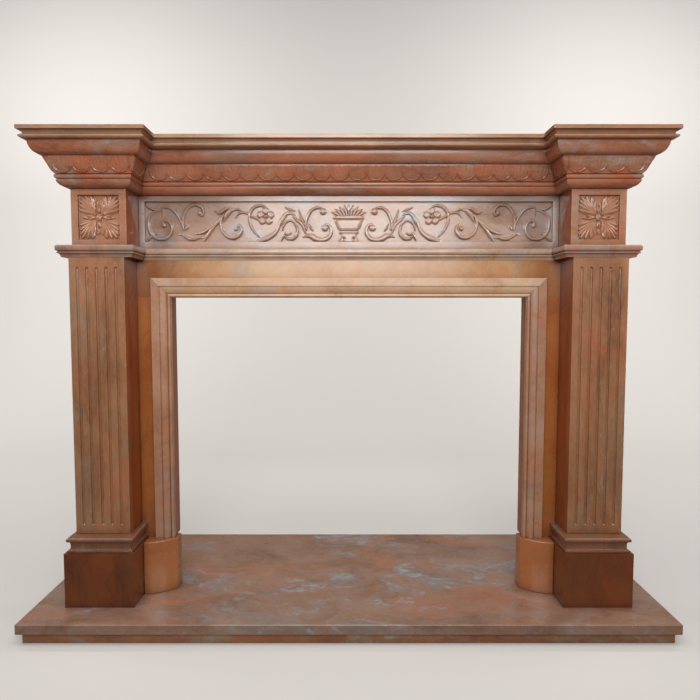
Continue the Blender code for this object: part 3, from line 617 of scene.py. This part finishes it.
def make_cap(side, word):
    node = "pilaster_cap_" + word

    def outline(projection):
        outer = side * (SHAFT_OUTER + projection)
        inner = side * (SHAFT_INNER - projection)
        back = behind(WALL_BACK)
        front = behind(ENTABLATURE_FRONT - projection)
        mitre = behind(FRIEZE_FRONT - projection)
        shaft = side * SHAFT_INNER
        return [(outer, back), (outer, front), (inner, front), (inner, mitre - JOINT),
                (shaft, behind(FRIEZE_FRONT) - JOINT), (shaft, back)]

    profile = lowered_top(profile_points(CAP_START, CAP_MEMBERS))
    sweep("cap_moulding_" + word, outline, profile, node, "pilaster")


def make_architrave():
    def outline(projection):
        corner = SHAFT_INNER - JOINT
        end = corner - projection
        back = behind(WALL_BACK)
        face = behind(FRIEZE_FRONT)
        front = face - projection
        return [(-corner, back), (-corner, face), (-end, front), (end, front), (corner, face), (corner, back)]

    profile = lowered_top(profile_points(CAP_START, CAP_MEMBERS))
    sweep("architrave", outline, profile, "architrave_moulding", "facing")


def make_shelf():
    profile = profile_points(SHELF_START, SHELF_MEMBERS)
    sweep("shelf_slab", breakfront(SHELF_SETBACK), profile, "mantel_shelf", "cornice")


def make_frame():
    face = [(FRAME_WIDTH - across, thick) for thick, across in profile_points(FRAME_START, FRAME_MEMBERS)]
    section = [(FRAME_WIDTH, 0.0)] + face + [(0.0, 0.0)]
    faces = ring_faces(len(section), 2)
    back = behind(PANEL_FRONT) - JOINT
    for side, word in SIDES:
        node = "frame_jamb_" + word
        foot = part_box(node)[0][2]
        points = [(side * (HALF_OPENING + out), back - thick, foot) for out, thick in section]
        points += [(x, y, OPENING_TOP + out - JOINT) for (x, y, _), (out, _) in zip(points, section)]
        bevel(new_piece("frame_moulding_" + word, points, faces, node, "facing"), FRAME_ARRIS)
    points = [(-HALF_OPENING - out, back - thick, OPENING_TOP + out) for out, thick in section]
    points += [(-x, y, z) for x, y, z in points]
    bevel(new_piece("frame_moulding_head", points, faces, "frame_header", "facing"), FRAME_ARRIS)


def make_frame_plinth(side, word):
    """A block whose front curves forward towards the opening."""
    node = "frame_plinth_" + word
    low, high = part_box(node)
    inner = min(abs(low[0]), abs(high[0]))
    outer = max(abs(low[0]), abs(high[0]))
    plan = [(side * outer, high[1])]
    for step in range(FRAME_PLINTH_STEPS + 1):
        share = step / FRAME_PLINTH_STEPS
        front = FRAME_PLINTH_OUTER_FRONT + (FRAME_PLINTH_INNER_FRONT - FRAME_PLINTH_OUTER_FRONT) * share ** 2
        plan.append((side * (outer + (inner - outer) * share), behind(front)))
    plan.append((side * inner, high[1]))
    points = [(x, y, level) for level in (low[2], high[2]) for x, y in plan]
    bevel(new_piece("frame_block_" + word, points, ring_faces(len(plan), 2), node, "frame_plinth"), 0.0015, 3)


# The cornice and its leaves

def growing(value, start, span):
    """0 up to the start, then growing to 1 over the span."""
    return np.clip((value - start) / span, 0.0, 1.0)


def swell(gap, width):
    """1 where the gap is 0, falling softly to 0 within a few widths."""
    return np.exp(-(gap / width) ** 2)


def leaf_height(across, up):
    """Height of one leaf in shares of LEAF_RISE. across runs from -1 to 1 over a pitch and up from 0 to 1."""
    drop = np.clip((LEAF_ROUND_CENTRE - up) / LEAF_ROUND_RISE, 0.0, None)
    edge = np.hypot(across, drop)
    rim_share = LEAF_RIM_LEAST + (1 - LEAF_RIM_LEAST) * (1 - growing(up, 0.40, 0.25))
    rim = swell(edge - LEAF_RIM_PLACE, LEAF_RIM_WIDTH) * rim_share
    dome = np.clip(1 - (edge / LEAF_BODY_REACH) ** 3, 0.0, 1.0) ** 0.5
    notch_width = LEAF_NOTCH_WIDTH + LEAF_NOTCH_SPREAD * np.clip(up - 0.55, 0.0, 1.0)
    notch = swell(across, notch_width) * growing(up, 0.45, 0.3)
    folds = swell(np.abs(across) - LEAF_FOLD_PLACE, LEAF_FOLD_WIDTH) * growing(up, 0.30, 0.4)
    body = LEAF_BODY_HEIGHT * dome - LEAF_NOTCH_DEPTH * notch - LEAF_FOLD_DEPTH * folds
    sink = 1 - LEAF_SINK_DEPTH * growing(up, LEAF_SINK_START, 1 - LEAF_SINK_START) ** 1.5
    return np.clip(np.maximum(rim, body), 0.0, 1.0) * sink


def corner_height(from_mitre, up):
    """Height of the narrow leaf folded over a mitre. from_mitre is in metres, up from 0 to 1."""
    reach = LEAF_BAND_OUT * np.clip(up - 0.06, 0.0, 1.0) + CORNER_LEAF_LEAST
    share = np.clip(from_mitre / reach, 0.0, 1.0)
    body = np.clip(1 - share ** 3, 0.0, 1.0) ** 0.5
    return body * growing(up, 0.0, 0.15) * (1 - 0.5 * swell(share, 0.2))


def cornice_levels():
    """The cornice's rows as (projection, height), and the row at the foot of its leaf band."""
    foot = profile_points(CORNICE_START, CORNICE_FOOT_MEMBERS)
    foot_out, foot_rise = foot[-1]
    band = [(foot_out + LEAF_BAND_OUT * row / LEAF_ROWS, foot_rise + LEAF_BAND_RISE * row / LEAF_ROWS)
            for row in range(1, LEAF_ROWS)]
    head = [(out, foot_rise + LEAF_BAND_RISE + rise)
            for out, rise in profile_points(foot_out + LEAF_BAND_OUT, CORNICE_HEAD_MEMBERS)]
    return foot + band + lowered_top(head), len(foot) - 1


def make_cornice():
    """Columns of points go round the plan, and their rows in the leaf band are lifted along its slope."""
    node = "cornice"
    levels, band_start = cornice_levels()
    heights = np.array([height for _, height in levels]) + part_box(node)[0][2]
    outline = breakfront(CENTRE_SETBACK)
    corners = np.array([outline(out) for out, _ in levels])
    foot_corners = corners[band_start]
    runs = len(foot_corners) - 1
    # At the two inner corners the leaves stay clear of the next run's slope
    clear = LEAF_BAND_OUT + LEAF_RISE
    gives = (0.0, 0.0, 0.0, clear, clear, 0.0, 0.0, 0.0)
    starts_outside = (1, 2, 5, 6)
    ends_outside = (0, 1, 4, 5)
    slant = math.hypot(LEAF_BAND_OUT, LEAF_BAND_RISE)
    outward_share = LEAF_BAND_RISE / slant
    down_share = LEAF_BAND_OUT / slant
    rows = np.arange(len(levels))
    up = np.clip((rows - band_start) / LEAF_ROWS, 0.0, 1.0)
    in_band = (rows > band_start) & (rows < band_start + LEAF_ROWS)
    wedge = LEAF_BAND_OUT * up
    columns = []
    for run in range(runs):
        start, end = foot_corners[run], foot_corners[run + 1]
        length = np.linalg.norm(end - start)
        along = (end - start) / length
        outward = np.array((along[1], -along[0]))
        usable = length - gives[run] - gives[run + 1]
        count = round(usable / LEAF_PITCH)
        pitch = usable / count
        steps = math.ceil(length / LEAF_COLUMN)
        for step in range(0 if run == 0 else 1, steps + 1):
            share = step / steps
            spot = corners[:, run] * (1 - share) + corners[:, run + 1] * share
            distance = (spot - start) @ along
            local = (distance - gives[run]) / pitch
            across = 2 * (local - np.floor(local)) - 1
            lift = np.where((local < 0) | (local > count), 0.0, leaf_height(across, up))
            if run in starts_outside:
                lift = np.where(distance < 0, corner_height(distance + wedge, up), lift)
            if run in ends_outside:
                lift = np.where(distance > length, corner_height(length + wedge - distance, up), lift)
            direction = outward
            if step == steps and run < runs - 1:
                following = foot_corners[run + 2] - foot_corners[run + 1]
                following = following / np.linalg.norm(following)
                direction = outward + np.array((following[1], -following[0]))
            lift = np.where(in_band, lift * LEAF_RISE, 0.0)
            x = spot[:, 0] + direction[0] * lift * outward_share
            y = spot[:, 1] + direction[1] * lift * outward_share
            z = heights - lift * down_share
            columns.append(np.stack([x, y, z], axis=1))
    grid = np.array(columns)
    wide, tall = grid.shape[:2]
    points = grid.transpose(1, 0, 2).reshape(-1, 3)
    faces = grid_faces(tall, wide)
    back = [row * wide for row in range(tall)] + [row * wide + wide - 1 for row in reversed(range(tall))]
    faces.append(tuple(back))
    faces.append(tuple(range(wide)))
    faces.append(tuple(range((tall - 1) * wide, tall * wide)))
    new_piece("cornice_carved", points.tolist(), faces, node, "cornice", 40.0)


# Reliefs

def smooth_path(points, step=0.6):
    """A smooth curve through the points, with each sample's place along them from 0 to 1."""
    points = np.array(points, float)
    padded = np.vstack([2 * points[0] - points[1], points, 2 * points[-1] - points[-2]])
    samples = []
    places = []
    last = len(points) - 1
    for index in range(last):
        before, start, end, after = padded[index:index + 4]
        count = max(2, math.ceil(np.linalg.norm(end - start) / step))
        for t in np.arange(count + (index == last - 1)) / count:
            slope = (end - before) * t
            square = (2 * before - 5 * start + 4 * end - after) * t ** 2
            cube = (3 * start - before - 3 * end + after) * t ** 3
            samples.append(0.5 * (2 * start + slope + square + cube))
            places.append((index + t) / last)
    return np.array(samples), np.array(places)


class Relief:
    """Heights over a grid of points, in millimetres."""

    def __init__(self, x, z):
        self.x, self.z = np.meshgrid(x, z)
        self.height = np.zeros(self.x.shape)

    def window(self, low, high):
        return ((self.x > low[0]) & (self.x < high[0]) & (self.z > low[1]) & (self.z < high[1])).nonzero()

    def strand(self, points, widths, height, groove):
        """A ridge along a curve, maybe grooved, with its half widths spread evenly from root to tip."""
        samples, places = smooth_path(points)
        half = np.interp(places, np.linspace(0, 1, len(widths)), widths)
        rise = height * np.minimum(1.0, (half / max(widths)) ** 0.6)
        spots = self.window(samples.min(0) - max(widths), samples.max(0) + max(widths))
        gap = np.hypot(self.x[spots][:, None] - samples[:, 0], self.z[spots][:, None] - samples[:, 1])
        lift = rise * np.clip(1 - (gap / half) ** 2, 0, None) ** 0.5
        top = lift.max(axis=1)
        if groove:
            top = top - groove * swell(gap.min(axis=1), 0.9) * (top > 0)
        self.height[spots] = np.maximum(self.height[spots], top)

    def ball(self, centre, radius, height, hollow):
        spots = self.window(np.array(centre) - radius, np.array(centre) + radius)
        gap = np.hypot(self.x[spots] - centre[0], self.z[spots] - centre[1]) / radius
        lift = height * np.sqrt(np.clip(1 - gap ** 2, 0, None)) - hollow * swell(gap, 0.4)
        self.height[spots] = np.maximum(self.height[spots], lift)


# Each strand: points right and up from the panel's middle, half widths from root to tip, height, groove
STRANDS = (
    (((592.9, 36.7), (612.8, 32.3), (628.3, 19), (634, -1), (631.6, -23), (624, -40), (612, -50.6),
      (597.4, -53.9), (579.7, -49.5), (567.5, -36.2), (564, -18.5), (569.7, -4.2), (579.7, 3.6),
      (588.5, 2.5), (594, -5.3)),
     (2.5, 4.5, 5.5, 5.5, 5, 4.6, 4.2), 6.3, 0),
    (((640, 60), (634, 47), (620, 39.5), (606, 38)), (1.5, 3.6, 4.6, 1.5), 5.5, 0),
    (((639, -60), (632, -53), (625, -45), (617, -38)), (1.5, 4, 4, 2), 5.5, 0),
    (((628, -34), (618, -36.5), (607, -38)), (3.5, 2.6, 1), 5, 0),
    (((594, 42), (584, 45.5), (568.6, 43), (553.2, 31), (541, 13), (532, -5), (528.5, -24)),
     (2.5, 4, 4.6, 4.4, 4, 3.5, 2), 6, 0),
    (((591, 38), (592.5, 28), (594, 18)), (3.2, 2.4, 1), 4.5, 0),
    (((526, -26), (529, -6), (525.5, 16.8), (517.8, 34.5), (506.7, 47), (493.5, 53), (478, 51.5), (467, 44),
      (461.5, 33), (464, 23), (471, 18.5)), (2, 4, 5, 5, 5, 4.6, 4, 3), 6.3, 0),
    (((516, -7), (514, -15), (521, -25)), (1, 2.8, 2), 4, 0),
    (((460, -50), (478, -47.5), (494, -51), (508, -49), (522, -42), (533, -38), (547, -42)),
     (2, 4.5, 8, 9.5, 7, 4.4, 1), 6.5, 1.8),
    (((398, 21), (407, 9), (416, -1), (427, -13), (438, -26), (450, -42), (461, -60)),
     (3, 5, 5, 4.6, 5.5, 6, 1.5), 6, 0),
    (((409, 14), (419, 1), (429.4, -9.7), (441, -19), (451.5, -26), (468, -34.5), (487, -37.5)),
     (2, 3.6, 4.2, 4.6, 4.6, 4, 1), 6.5, 0),
    (((396, 23), (404, 8), (407, -9), (402, -28), (390, -42), (372, -50.5), (353, -46), (341, -32),
      (341, -18), (348, -10)), (2.5, 4.2, 4.6, 4.8, 5, 5, 4.5, 4), 6.3, 0),
    (((357, 37), (370, 37), (382, 28), (391, 14), (395, 1)), (1.5, 5.8, 8.2, 6, 1.5), 7, 1.5),
    (((372, 42), (388, 41), (403, 31), (413, 27), (426, 35)), (2, 5, 5.5, 4, 1), 6.5, 0),
    (((358, 14), (351, 24), (339, 29), (322, 27), (305, 17), (284, 6)), (1.5, 3, 3.6, 3.6, 3, 2.6), 4.5, 0),
    (((339, 32), (349, 38), (361, 37)), (1.5, 3.2, 2), 4.5, 0),
    (((262, 45), (270, 49), (281.8, 51.1), (299.5, 44.5), (310.5, 30.1), (315, 12.4), (310.5, -9.7),
      (299.5, -29.6), (283, -47)), (1.5, 3.4, 4.4, 4.6, 4.4, 4, 3.4, 1.5), 5.6, 0),
    (((293, -60), (277.4, -57), (255.3, -49), (235.4, -36.2), (224.3, -20.8), (216, 1), (204.5, 19),
      (189, 28), (170, 22)), (1.5, 6.5, 8, 6, 4.6, 4, 4.6, 5, 1.5), 6.5, 1.2),
    (((198, 19), (208, 6), (213, -9)), (2, 3, 1.5), 4, 0),
    (((201, 45), (184, 38), (168, 33)), (1, 3.2, 1), 3.5, 0),
    (((173, -2), (163, -18), (164, -40), (178, -52.5), (193, -52), (203, -43)),
     (2, 4.2, 4.8, 4.6, 4, 2), 5.6, 0),
    (((172, -4), (183, 4), (198, 0), (207, -12), (210, -26)), (2, 3, 3.6, 3.4, 2), 4.2, 0),
    (((182, -34), (192, -39.5), (203, -36)), (1.5, 3, 2), 4.2, 0),
    (((203, -35), (208, -47), (213, -58)), (3.5, 3.4, 1), 5, 0),
    (((158, 38), (152, 21), (146, 4), (139, -8), (134, -22)), (1, 3.2, 3.8, 3.2, 2), 5, 0),
    (((177, 18), (163, 6), (149, -6), (141, -20), (136, -34)), (1, 4.2, 4.8, 4, 2), 5, 0.8),
    (((125, -7), (119, -19), (113, -27)), (1, 3, 1.5), 4, 0),
    (((87, 42), (96, 44.5), (106, 43), (120.5, 32.3), (130.5, 12.4), (134.5, -5), (133, -24)),
     (3, 3.6, 4.2, 4.6, 4.2, 3.6, 2.5), 5.8, 0),
    (((72, -7), (62, -11), (56, -21), (56.4, -36.2), (67.4, -50.5), (87.3, -56), (106, -51), (119, -43.5),
      (131, -43), (144, -47)), (3, 3.8, 5, 5.5, 6, 6.2, 8.8, 8, 5, 1.5), 6.4, 0.8),
)
# Balls: centre, radius, height
BALLS = (
    ((589.6, -10.5), 8.2, 7.4), ((474, 27.5), 7.6, 7.2), ((357.5, -21), 6.8, 7.2), ((80.7, 32.3), 10.2, 7.6),
    ((75.2, -19), 10.2, 7.6),
)
FLOWER = (261.5, 17.0)
PETALS = 5
PETAL_REACH = (17.5, 17.0)
PETAL_RADIUS = 10.8
# Where places along the panel are drawn from, and to
DRAW_IN = ((0.0, 100.0, 340.0, 470.0, 600.0, 640.0), (0.0, 100.0, 338.0, 464.5, 592.0, 638.0))
# The urn: level, half width and rise, from the rim down
URN = (
    (18.5, 47.5, 5.5), (16.5, 48.5, 6.6), (10.5, 48.5, 6.6), (8.5, 47, 4.6), (7.5, 44, 3.2), (5, 43.5, 5.6),
    (-8, 40, 6.4), (-20, 34.5, 6.2), (-27, 28.5, 5.0), (-28.5, 27.5, 3.0), (-29.5, 30.5, 5.4),
    (-34.5, 31, 5.4), (-36, 28.5, 3.2), (-39, 24.5, 4.6), (-50, 25.5, 4.6), (-58, 32, 4.8), (-61, 33.5, 4.8),
)
URN_FOOT_HOLES = (-15.5, 15.5)
# The urn's leaves lean by these degrees from upright
URN_LEAVES = (-66, -47, -30, -14, 0, 14, 30, 47, 66)


def drawn_in(points):
    """The outer ornament a few millimetres nearer to the middle."""
    return [(float(np.interp(x, *DRAW_IN)), z) for x, z in points]


def carve_frieze(relief):
    for points, widths, height, groove in STRANDS:
        relief.strand(drawn_in(points), widths, height, groove)
    for centre, radius, height in BALLS:
        relief.ball(drawn_in([centre])[0], radius, height, 0.6)
    for petal in range(PETALS):
        angle = math.radians(90 + 360 / PETALS * petal)
        middle = (FLOWER[0] + PETAL_REACH[0] * math.cos(angle), FLOWER[1] + PETAL_REACH[1] * math.sin(angle))
        relief.ball(middle, PETAL_RADIUS, 5.6, 1.6)
    relief.ball(FLOWER, 4.6, 6.8, 1.0)
    carve_urn(relief)


def carve_urn(relief):
    levels, halves, rises = np.array(URN).T
    half = np.interp(-relief.z, -levels, halves, left=0, right=0)
    rise = np.interp(-relief.z, -levels, rises, left=0, right=0)
    share = np.clip(np.abs(relief.x) / np.maximum(half, 0.01), 0, 1)
    urn = rise * np.clip(1 - share ** 5, 0, 1) ** 0.5 * (half > 0)
    for hole in URN_FOOT_HOLES:
        gap = np.hypot((relief.x - hole) / 5.2, (relief.z + 54) / 6.5)
        urn = urn - 4.2 * np.clip(1.3 - gap, 0, 1) * (gap < 1.3)
    relief.height = np.maximum(relief.height, urn)
    for lean in URN_LEAVES:
        foot = (lean * 0.42, 19)
        reach = 35 - abs(lean) * 0.09
        angle = math.radians(90 - lean)
        tip = (foot[0] + reach * math.cos(angle), foot[1] + reach * math.sin(angle))
        middle = (foot[0] * 0.5 + tip[0] * 0.5, foot[1] * 0.5 + tip[1] * 0.5 + 1.5)
        relief.strand((foot, middle, tip), (2.6, 4.2, 1.2), 4.8, 1.4)


# Fingers of one diagonal leaf of the rosette: bend and tip from the middle
FINGERS = (
    ((31, 15), (55.5, 22)), ((36, 25), (56, 36)), ((38, 33), (55, 49)), ((34, 37), (50, 58.5)),
    ((27, 38), (36, 60)), ((20, 36), (21, 58.5)), ((13, 30), (9.5, 48)),
)
# The cross of the rosette's petals: direction and reach
CROSS = (((1, 0), 48), ((-1, 0), 50), ((0, 1), 47), ((0, -1), 51))
CROSS_START = 12
CROSS_MIDDLE = 31


def carve_rosette(relief):
    for mirror_x in (-1, 1):
        for mirror_z in (-1, 1):
            def mirrored(path):
                return [(x * mirror_x, z * mirror_z) for x, z in path]

            for bend, tip in FINGERS:
                path = ((9, 10), bend, (tip[0] * 0.9, tip[1] * 0.9))
                relief.strand(mirrored(path), (4.0, 8.5, 6.5), 3.6, 0)
            for bend, tip in FINGERS:
                path = ((8, 9), (bend[0] * 0.55 + 3, bend[1] * 0.55 + 3), bend, tip)
                relief.strand(mirrored(path), (2.5, 4.8, 6.0, 5.6, 3.6), 5.6, 0)
            relief.strand(mirrored(((9, 10), (24, 26), (38, 43))), (2.6, 3.4, 1.5), 5.9, 1.4)
    for (x, z), reach in CROSS:
        wide = 8.5 if x else 7.0
        path = [(place * x, place * z) for place in (CROSS_START, 22, CROSS_MIDDLE, reach)]
        spots = relief.window((-60, -60), (60, 60))
        along = relief.x[spots] * x + relief.z[spots] * z
        side = np.abs(relief.x[spots] * z) + np.abs(relief.z[spots] * x)
        inside = (side < wide + 2.2) & (along > CROSS_START) & (along < reach)
        shape = relief.height[spots]
        relief.height[spots] = np.where(inside, np.minimum(shape, 2.2), shape)
        relief.strand(path, (2.5, 6, wide, 5.5, 1.2), 6.0, 0)
        hollow = np.hypot((along - CROSS_MIDDLE) / 9.0, side / 3.2)
        relief.height[spots] -= np.where(along > 0, 5.0 * np.clip(1.15 - hollow, 0, 1), 0)
    relief.height = np.clip(relief.height, 0, None)
    spots = relief.window((-15, -16), (15, 16))
    gap = np.hypot(relief.x[spots] / 9.4, relief.z[spots] / 11.0)
    moat = np.where(gap < 1.22, np.minimum(relief.height[spots], 1.0), relief.height[spots])
    button = 6.2 * np.sqrt(np.clip(1 - gap ** 2, 0, None)) - 0.9 * swell(gap - 0.42, 0.13)
    relief.height[spots] = np.maximum(moat, button)


def stations(outer, panel, step):
    """Places of the grid's lines, close together inside the panel and at every edge."""
    edge = np.array(EDGE_LINES)
    low = panel[0] + PANEL_WALL
    high = panel[1] - PANEL_WALL
    inside = np.linspace(low, high, math.ceil((high - low) / step) + 1)
    edges = [outer[0] + edge, outer[1] - edge, panel[0] - edge, panel[1] + edge]
    return np.unique(np.concatenate(edges + [inside]).round(4))


def relief_piece(name, node, kind, margins, depth, step, carve):
    """A slab with a carved panel sunk into its front. margins are left, right, bottom and top."""
    low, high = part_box(node)
    half = (high[0] - low[0]) / MM / 2
    tall = (high[2] - low[2] + JOINT) / MM
    left, right, below, above = margins
    shift = (below - above) / 2
    centre_x = (low[0] + high[0]) / 2
    centre_z = low[2] + (tall / 2 + shift) * MM
    panel_x = (left - half, half - right)
    panel_z = (below - tall / 2 - shift, tall / 2 - above - shift)
    x = stations((-half, half), panel_x, step)
    z = stations((-tall / 2 - shift, tall / 2 - shift - JOINT / MM), panel_z, step)
    relief = Relief(x, z)
    carve(relief)
    past_x = np.maximum(panel_x[0] - relief.x, relief.x - panel_x[1])
    past_z = np.maximum(panel_z[0] - relief.z, relief.z - panel_z[1])
    inside = np.maximum(past_x, past_z) < -PANEL_WALL / 2
    to_panel = np.hypot(np.clip(past_x, 0, None), np.clip(past_z, 0, None))
    edges = rounding(np.minimum(to_edge(relief.x, relief.z), to_panel), EDGE_ROUND)
    sunk = np.where(inside, depth - np.minimum(relief.height, depth - FACE_GAP), edges)
    front = np.stack([centre_x + relief.x * MM, low[1] + sunk * MM, centre_z + relief.z * MM], axis=2)
    carved_slab(name, front, node, kind, 50.0)


def both_halves(relief):
    """The frieze's ornament, mirrored about the middle."""
    carve_frieze(relief)
    relief.height = np.maximum(relief.height, relief.height[:, ::-1])


def make_reliefs():
    margins = (FRIEZE_SIDE_MARGIN, FRIEZE_SIDE_MARGIN, FRIEZE_BOTTOM_MARGIN, FRIEZE_TOP_MARGIN)
    relief_piece("frieze_carved", "frieze", "frieze", margins, FRIEZE_DEPTH, FRIEZE_STEP, both_halves)
    margins = (BLOCK_SIDE_MARGIN, BLOCK_SIDE_MARGIN, BLOCK_END_MARGIN, BLOCK_END_MARGIN)
    for _, word in SIDES:
        node = "rosette_block_" + word
        name = "rosette_carved_" + word
        relief_piece(name, node, "frieze", margins, BLOCK_DEPTH, BLOCK_STEP, carve_rosette)


def make_shaft(word):
    """The shaft's front as a grid with round-ended flutes."""
    node = "pilaster_shaft_" + word
    low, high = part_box(node)
    half = (high[0] - low[0]) / 2
    middle = (high[0] + low[0]) / 2
    lowest = low[2] + FLUTE_ABOVE_FOOT + FLUTE_RADIUS
    highest = high[2] + JOINT - FLUTE_BELOW_TOP - FLUTE_RADIUS
    edge = np.array(EDGE_LINES) * MM
    lip = FLUTE_RADIUS + FLUTE_LIP
    arc = np.sin(np.linspace(-math.pi / 2, math.pi / 2, FLUTE_LINES)) * FLUTE_RADIUS
    lines = [-half + edge, half - edge]
    for index in range(-FLUTES_EACH_SIDE, FLUTES_EACH_SIDE + 1):
        place = index * FLUTE_PITCH
        lines += [place + arc, np.array((place - lip, place + lip))]
    x = np.unique(np.concatenate(lines).round(6))
    ends = np.linspace(-FLUTE_RADIUS, FLUTE_RADIUS, FLUTE_LINES)
    between = np.linspace(lowest + FLUTE_RADIUS, highest - FLUTE_RADIUS, 6)
    levels = [low[2] + edge, high[2] - edge, lowest + ends, highest + ends, between]
    z = np.unique(np.concatenate(levels).round(6))
    grid_x, grid_z = np.meshgrid(x, z)
    nearest = np.clip(np.round(grid_x / FLUTE_PITCH), -FLUTES_EACH_SIDE, FLUTES_EACH_SIDE) * FLUTE_PITCH
    level = np.clip(grid_z, lowest, highest)
    gap = np.hypot(grid_x - nearest, grid_z - level) / FLUTE_RADIUS
    sunk = FLUTE_DEPTH * np.sqrt(np.clip(1 - gap ** 2, 0, 1))
    sunk = np.maximum(sunk, rounding(to_edge(grid_x, grid_z), EDGE_ROUND * MM))
    front = np.stack([middle + grid_x, low[1] + sunk, grid_z], axis=2)
    carved_slab("shaft_fluted_" + word, front, node, "pilaster", 40.0)


# Floor, light and camera

# The floor's pale look, and the darker one with which it throws light up at the stone, in 0 to 255
FLOOR_LOOKS = ((223, 220, 218), (225, 222, 220))
FLOOR_BOUNCE = (120, 112, 106)
FLOOR_FRONT = -9.0
FLOOR_BACK = 1.6
FLOOR_HALF = 7.0
BACKDROP_BEND = 2.2
BACKDROP_TOP = 7.0
BACKDROP_STEPS = 24
WORLD_COLOUR = (229, 223, 218)
WORLD_STRENGTH = 0.24
LAMP_COLOUR = (1.0, 0.985, 0.96)
# The camera as fitted to the photo, whose side, focal length and shifts are in pixels
PHOTO_SIDE = 700.0
FOCAL_LENGTH = 500.0
SHIFT_X = 1.25
SHIFT_Y = -7.5
SENSOR = 36.0
CAMERA_TO_HEARTH = 1.3587
CAMERA_HEIGHT = 0.930
CAMERA_DIP = 0.0542


def make_floor():
    """A pale floor that sweeps up into a backdrop."""
    line = [(FLOOR_FRONT, 0.0), (FLOOR_BACK, 0.0)]
    for step in range(1, BACKDROP_STEPS + 1):
        angle = math.pi / 2 * step / BACKDROP_STEPS
        line.append((FLOOR_BACK + BACKDROP_BEND * math.sin(angle), BACKDROP_BEND * (1 - math.cos(angle))))
    line.append((FLOOR_BACK + BACKDROP_BEND, BACKDROP_TOP))
    points = [(side * FLOOR_HALF, y, z) for y, z in line for side in (-1, 1)]
    faces = [(2 * row, 2 * row + 1, 2 * row + 3, 2 * row + 2) for row in range(len(line) - 1)]
    mesh = bpy.data.meshes.new("studio_floor")
    mesh.from_pydata(points, [], faces)
    mesh.shade_smooth()
    floor = bpy.data.objects.new("studio_floor", mesh)
    bpy.context.scene.collection.objects.link(floor)
    material = bpy.data.materials.new("studio_floor")
    material.use_nodes = True
    graph = Graph(material)
    shade = graph.noise(graph.nodes.new("ShaderNodeTexCoord").outputs["Object"], *FLOOR_SHADE)["Fac"]
    pale = graph.mix(shade, linear(FLOOR_LOOKS[0]), linear(FLOOR_LOOKS[1]))
    seen = graph.nodes.new("ShaderNodeLightPath").outputs["Is Camera Ray"]
    graph.feed(graph.shader.inputs["Base Color"], graph.mix(seen, linear(FLOOR_BOUNCE), pale))
    graph.shader.inputs["Roughness"].default_value = 0.9
    graph.shader.inputs["Specular IOR Level"].default_value = 0.1
    mesh.materials.append(material)


def area_light(name, place, target, size, power, receivers=()):
    """A softbox. With receivers it lights those pieces alone, as a shaded studio lamp does."""
    data = bpy.data.lights.new(name, "AREA")
    data.shape = "RECTANGLE"
    data.size, data.size_y = size
    data.energy = power
    data.color = LAMP_COLOUR
    light = bpy.data.objects.new(name, data)
    light.location = place
    light.rotation_euler = (Vector(target) - Vector(place)).to_track_quat("-Z", "Y").to_euler()
    bpy.context.scene.collection.objects.link(light)
    if receivers:
        lit = bpy.data.collections.new(name + "_lights")
        for piece in receivers:
            lit.objects.link(piece)
        light.light_linking.receiver_collection = lit


def make_light():
    world = bpy.data.worlds.new("studio")
    bpy.context.scene.world = world
    world.use_nodes = True
    background = world.node_tree.nodes["Background"]
    background.inputs["Color"].default_value = linear(WORLD_COLOUR)
    background.inputs["Strength"].default_value = WORLD_STRENGTH
    area_light("overhead", (0.0, -1.2, 5.0), (0.0, -0.2, 0.0), (6.0, 3.0), 130.0)
    area_light("key", (0.0, -2.3, 1.85), (0.0, 0.0, 1.15), (1.7, 1.2), 38.0)
    carved = [bpy.data.objects["frieze_carved"]]
    stones = [piece for piece in bpy.context.scene.objects if piece.type == "MESH"]
    for side, word in SIDES:
        flank = [piece for piece in stones if piece.name.endswith("_" + word)]
        aim = (side * 0.35, -0.06, 1.2)
        area_light("rake_" + word, (side * 1.35, -0.70, 1.80), aim, (0.25, 0.4), 16.0, carved)
        area_light("side_" + word, (side * 2.2, -1.3, 2.0), (side * 0.74, -0.2, 1.0), (0.5, 0.9), 10.0, flank)
        area_light("backdrop_" + word, (side * 3.0, 1.0, 3.5), (side * 3.0, 3.8, 1.6), (2.6, 0.8), 86.0)
    bpy.context.scene.view_settings.view_transform = "Standard"


def make_camera():
    data = bpy.data.cameras.new("camera")
    data.sensor_width = SENSOR
    data.lens = SENSOR * FOCAL_LENGTH / PHOTO_SIDE
    data.shift_x = SHIFT_X / PHOTO_SIDE
    data.shift_y = SHIFT_Y / PHOTO_SIDE
    data.clip_start = 0.05
    data.clip_end = 200.0
    camera = bpy.data.objects.new("camera", data)
    camera.location = (0.0, -CAMERA_TO_HEARTH - HEARTH_DEPTH / 2, CAMERA_HEIGHT)
    camera.rotation_euler = (math.radians(90.0) - math.atan(CAMERA_DIP), 0.0, 0.0)
    bpy.context.scene.collection.objects.link(camera)
    bpy.context.scene.camera = camera


make_camera()
dress_plain_nodes()
for side, word in SIDES:
    make_base(side, word)
    make_shaft(word)
    make_cap(side, word)
    make_frame_plinth(side, word)
make_architrave()
make_reliefs()
make_cornice()
make_shelf()
make_frame()
make_floor()
make_light()
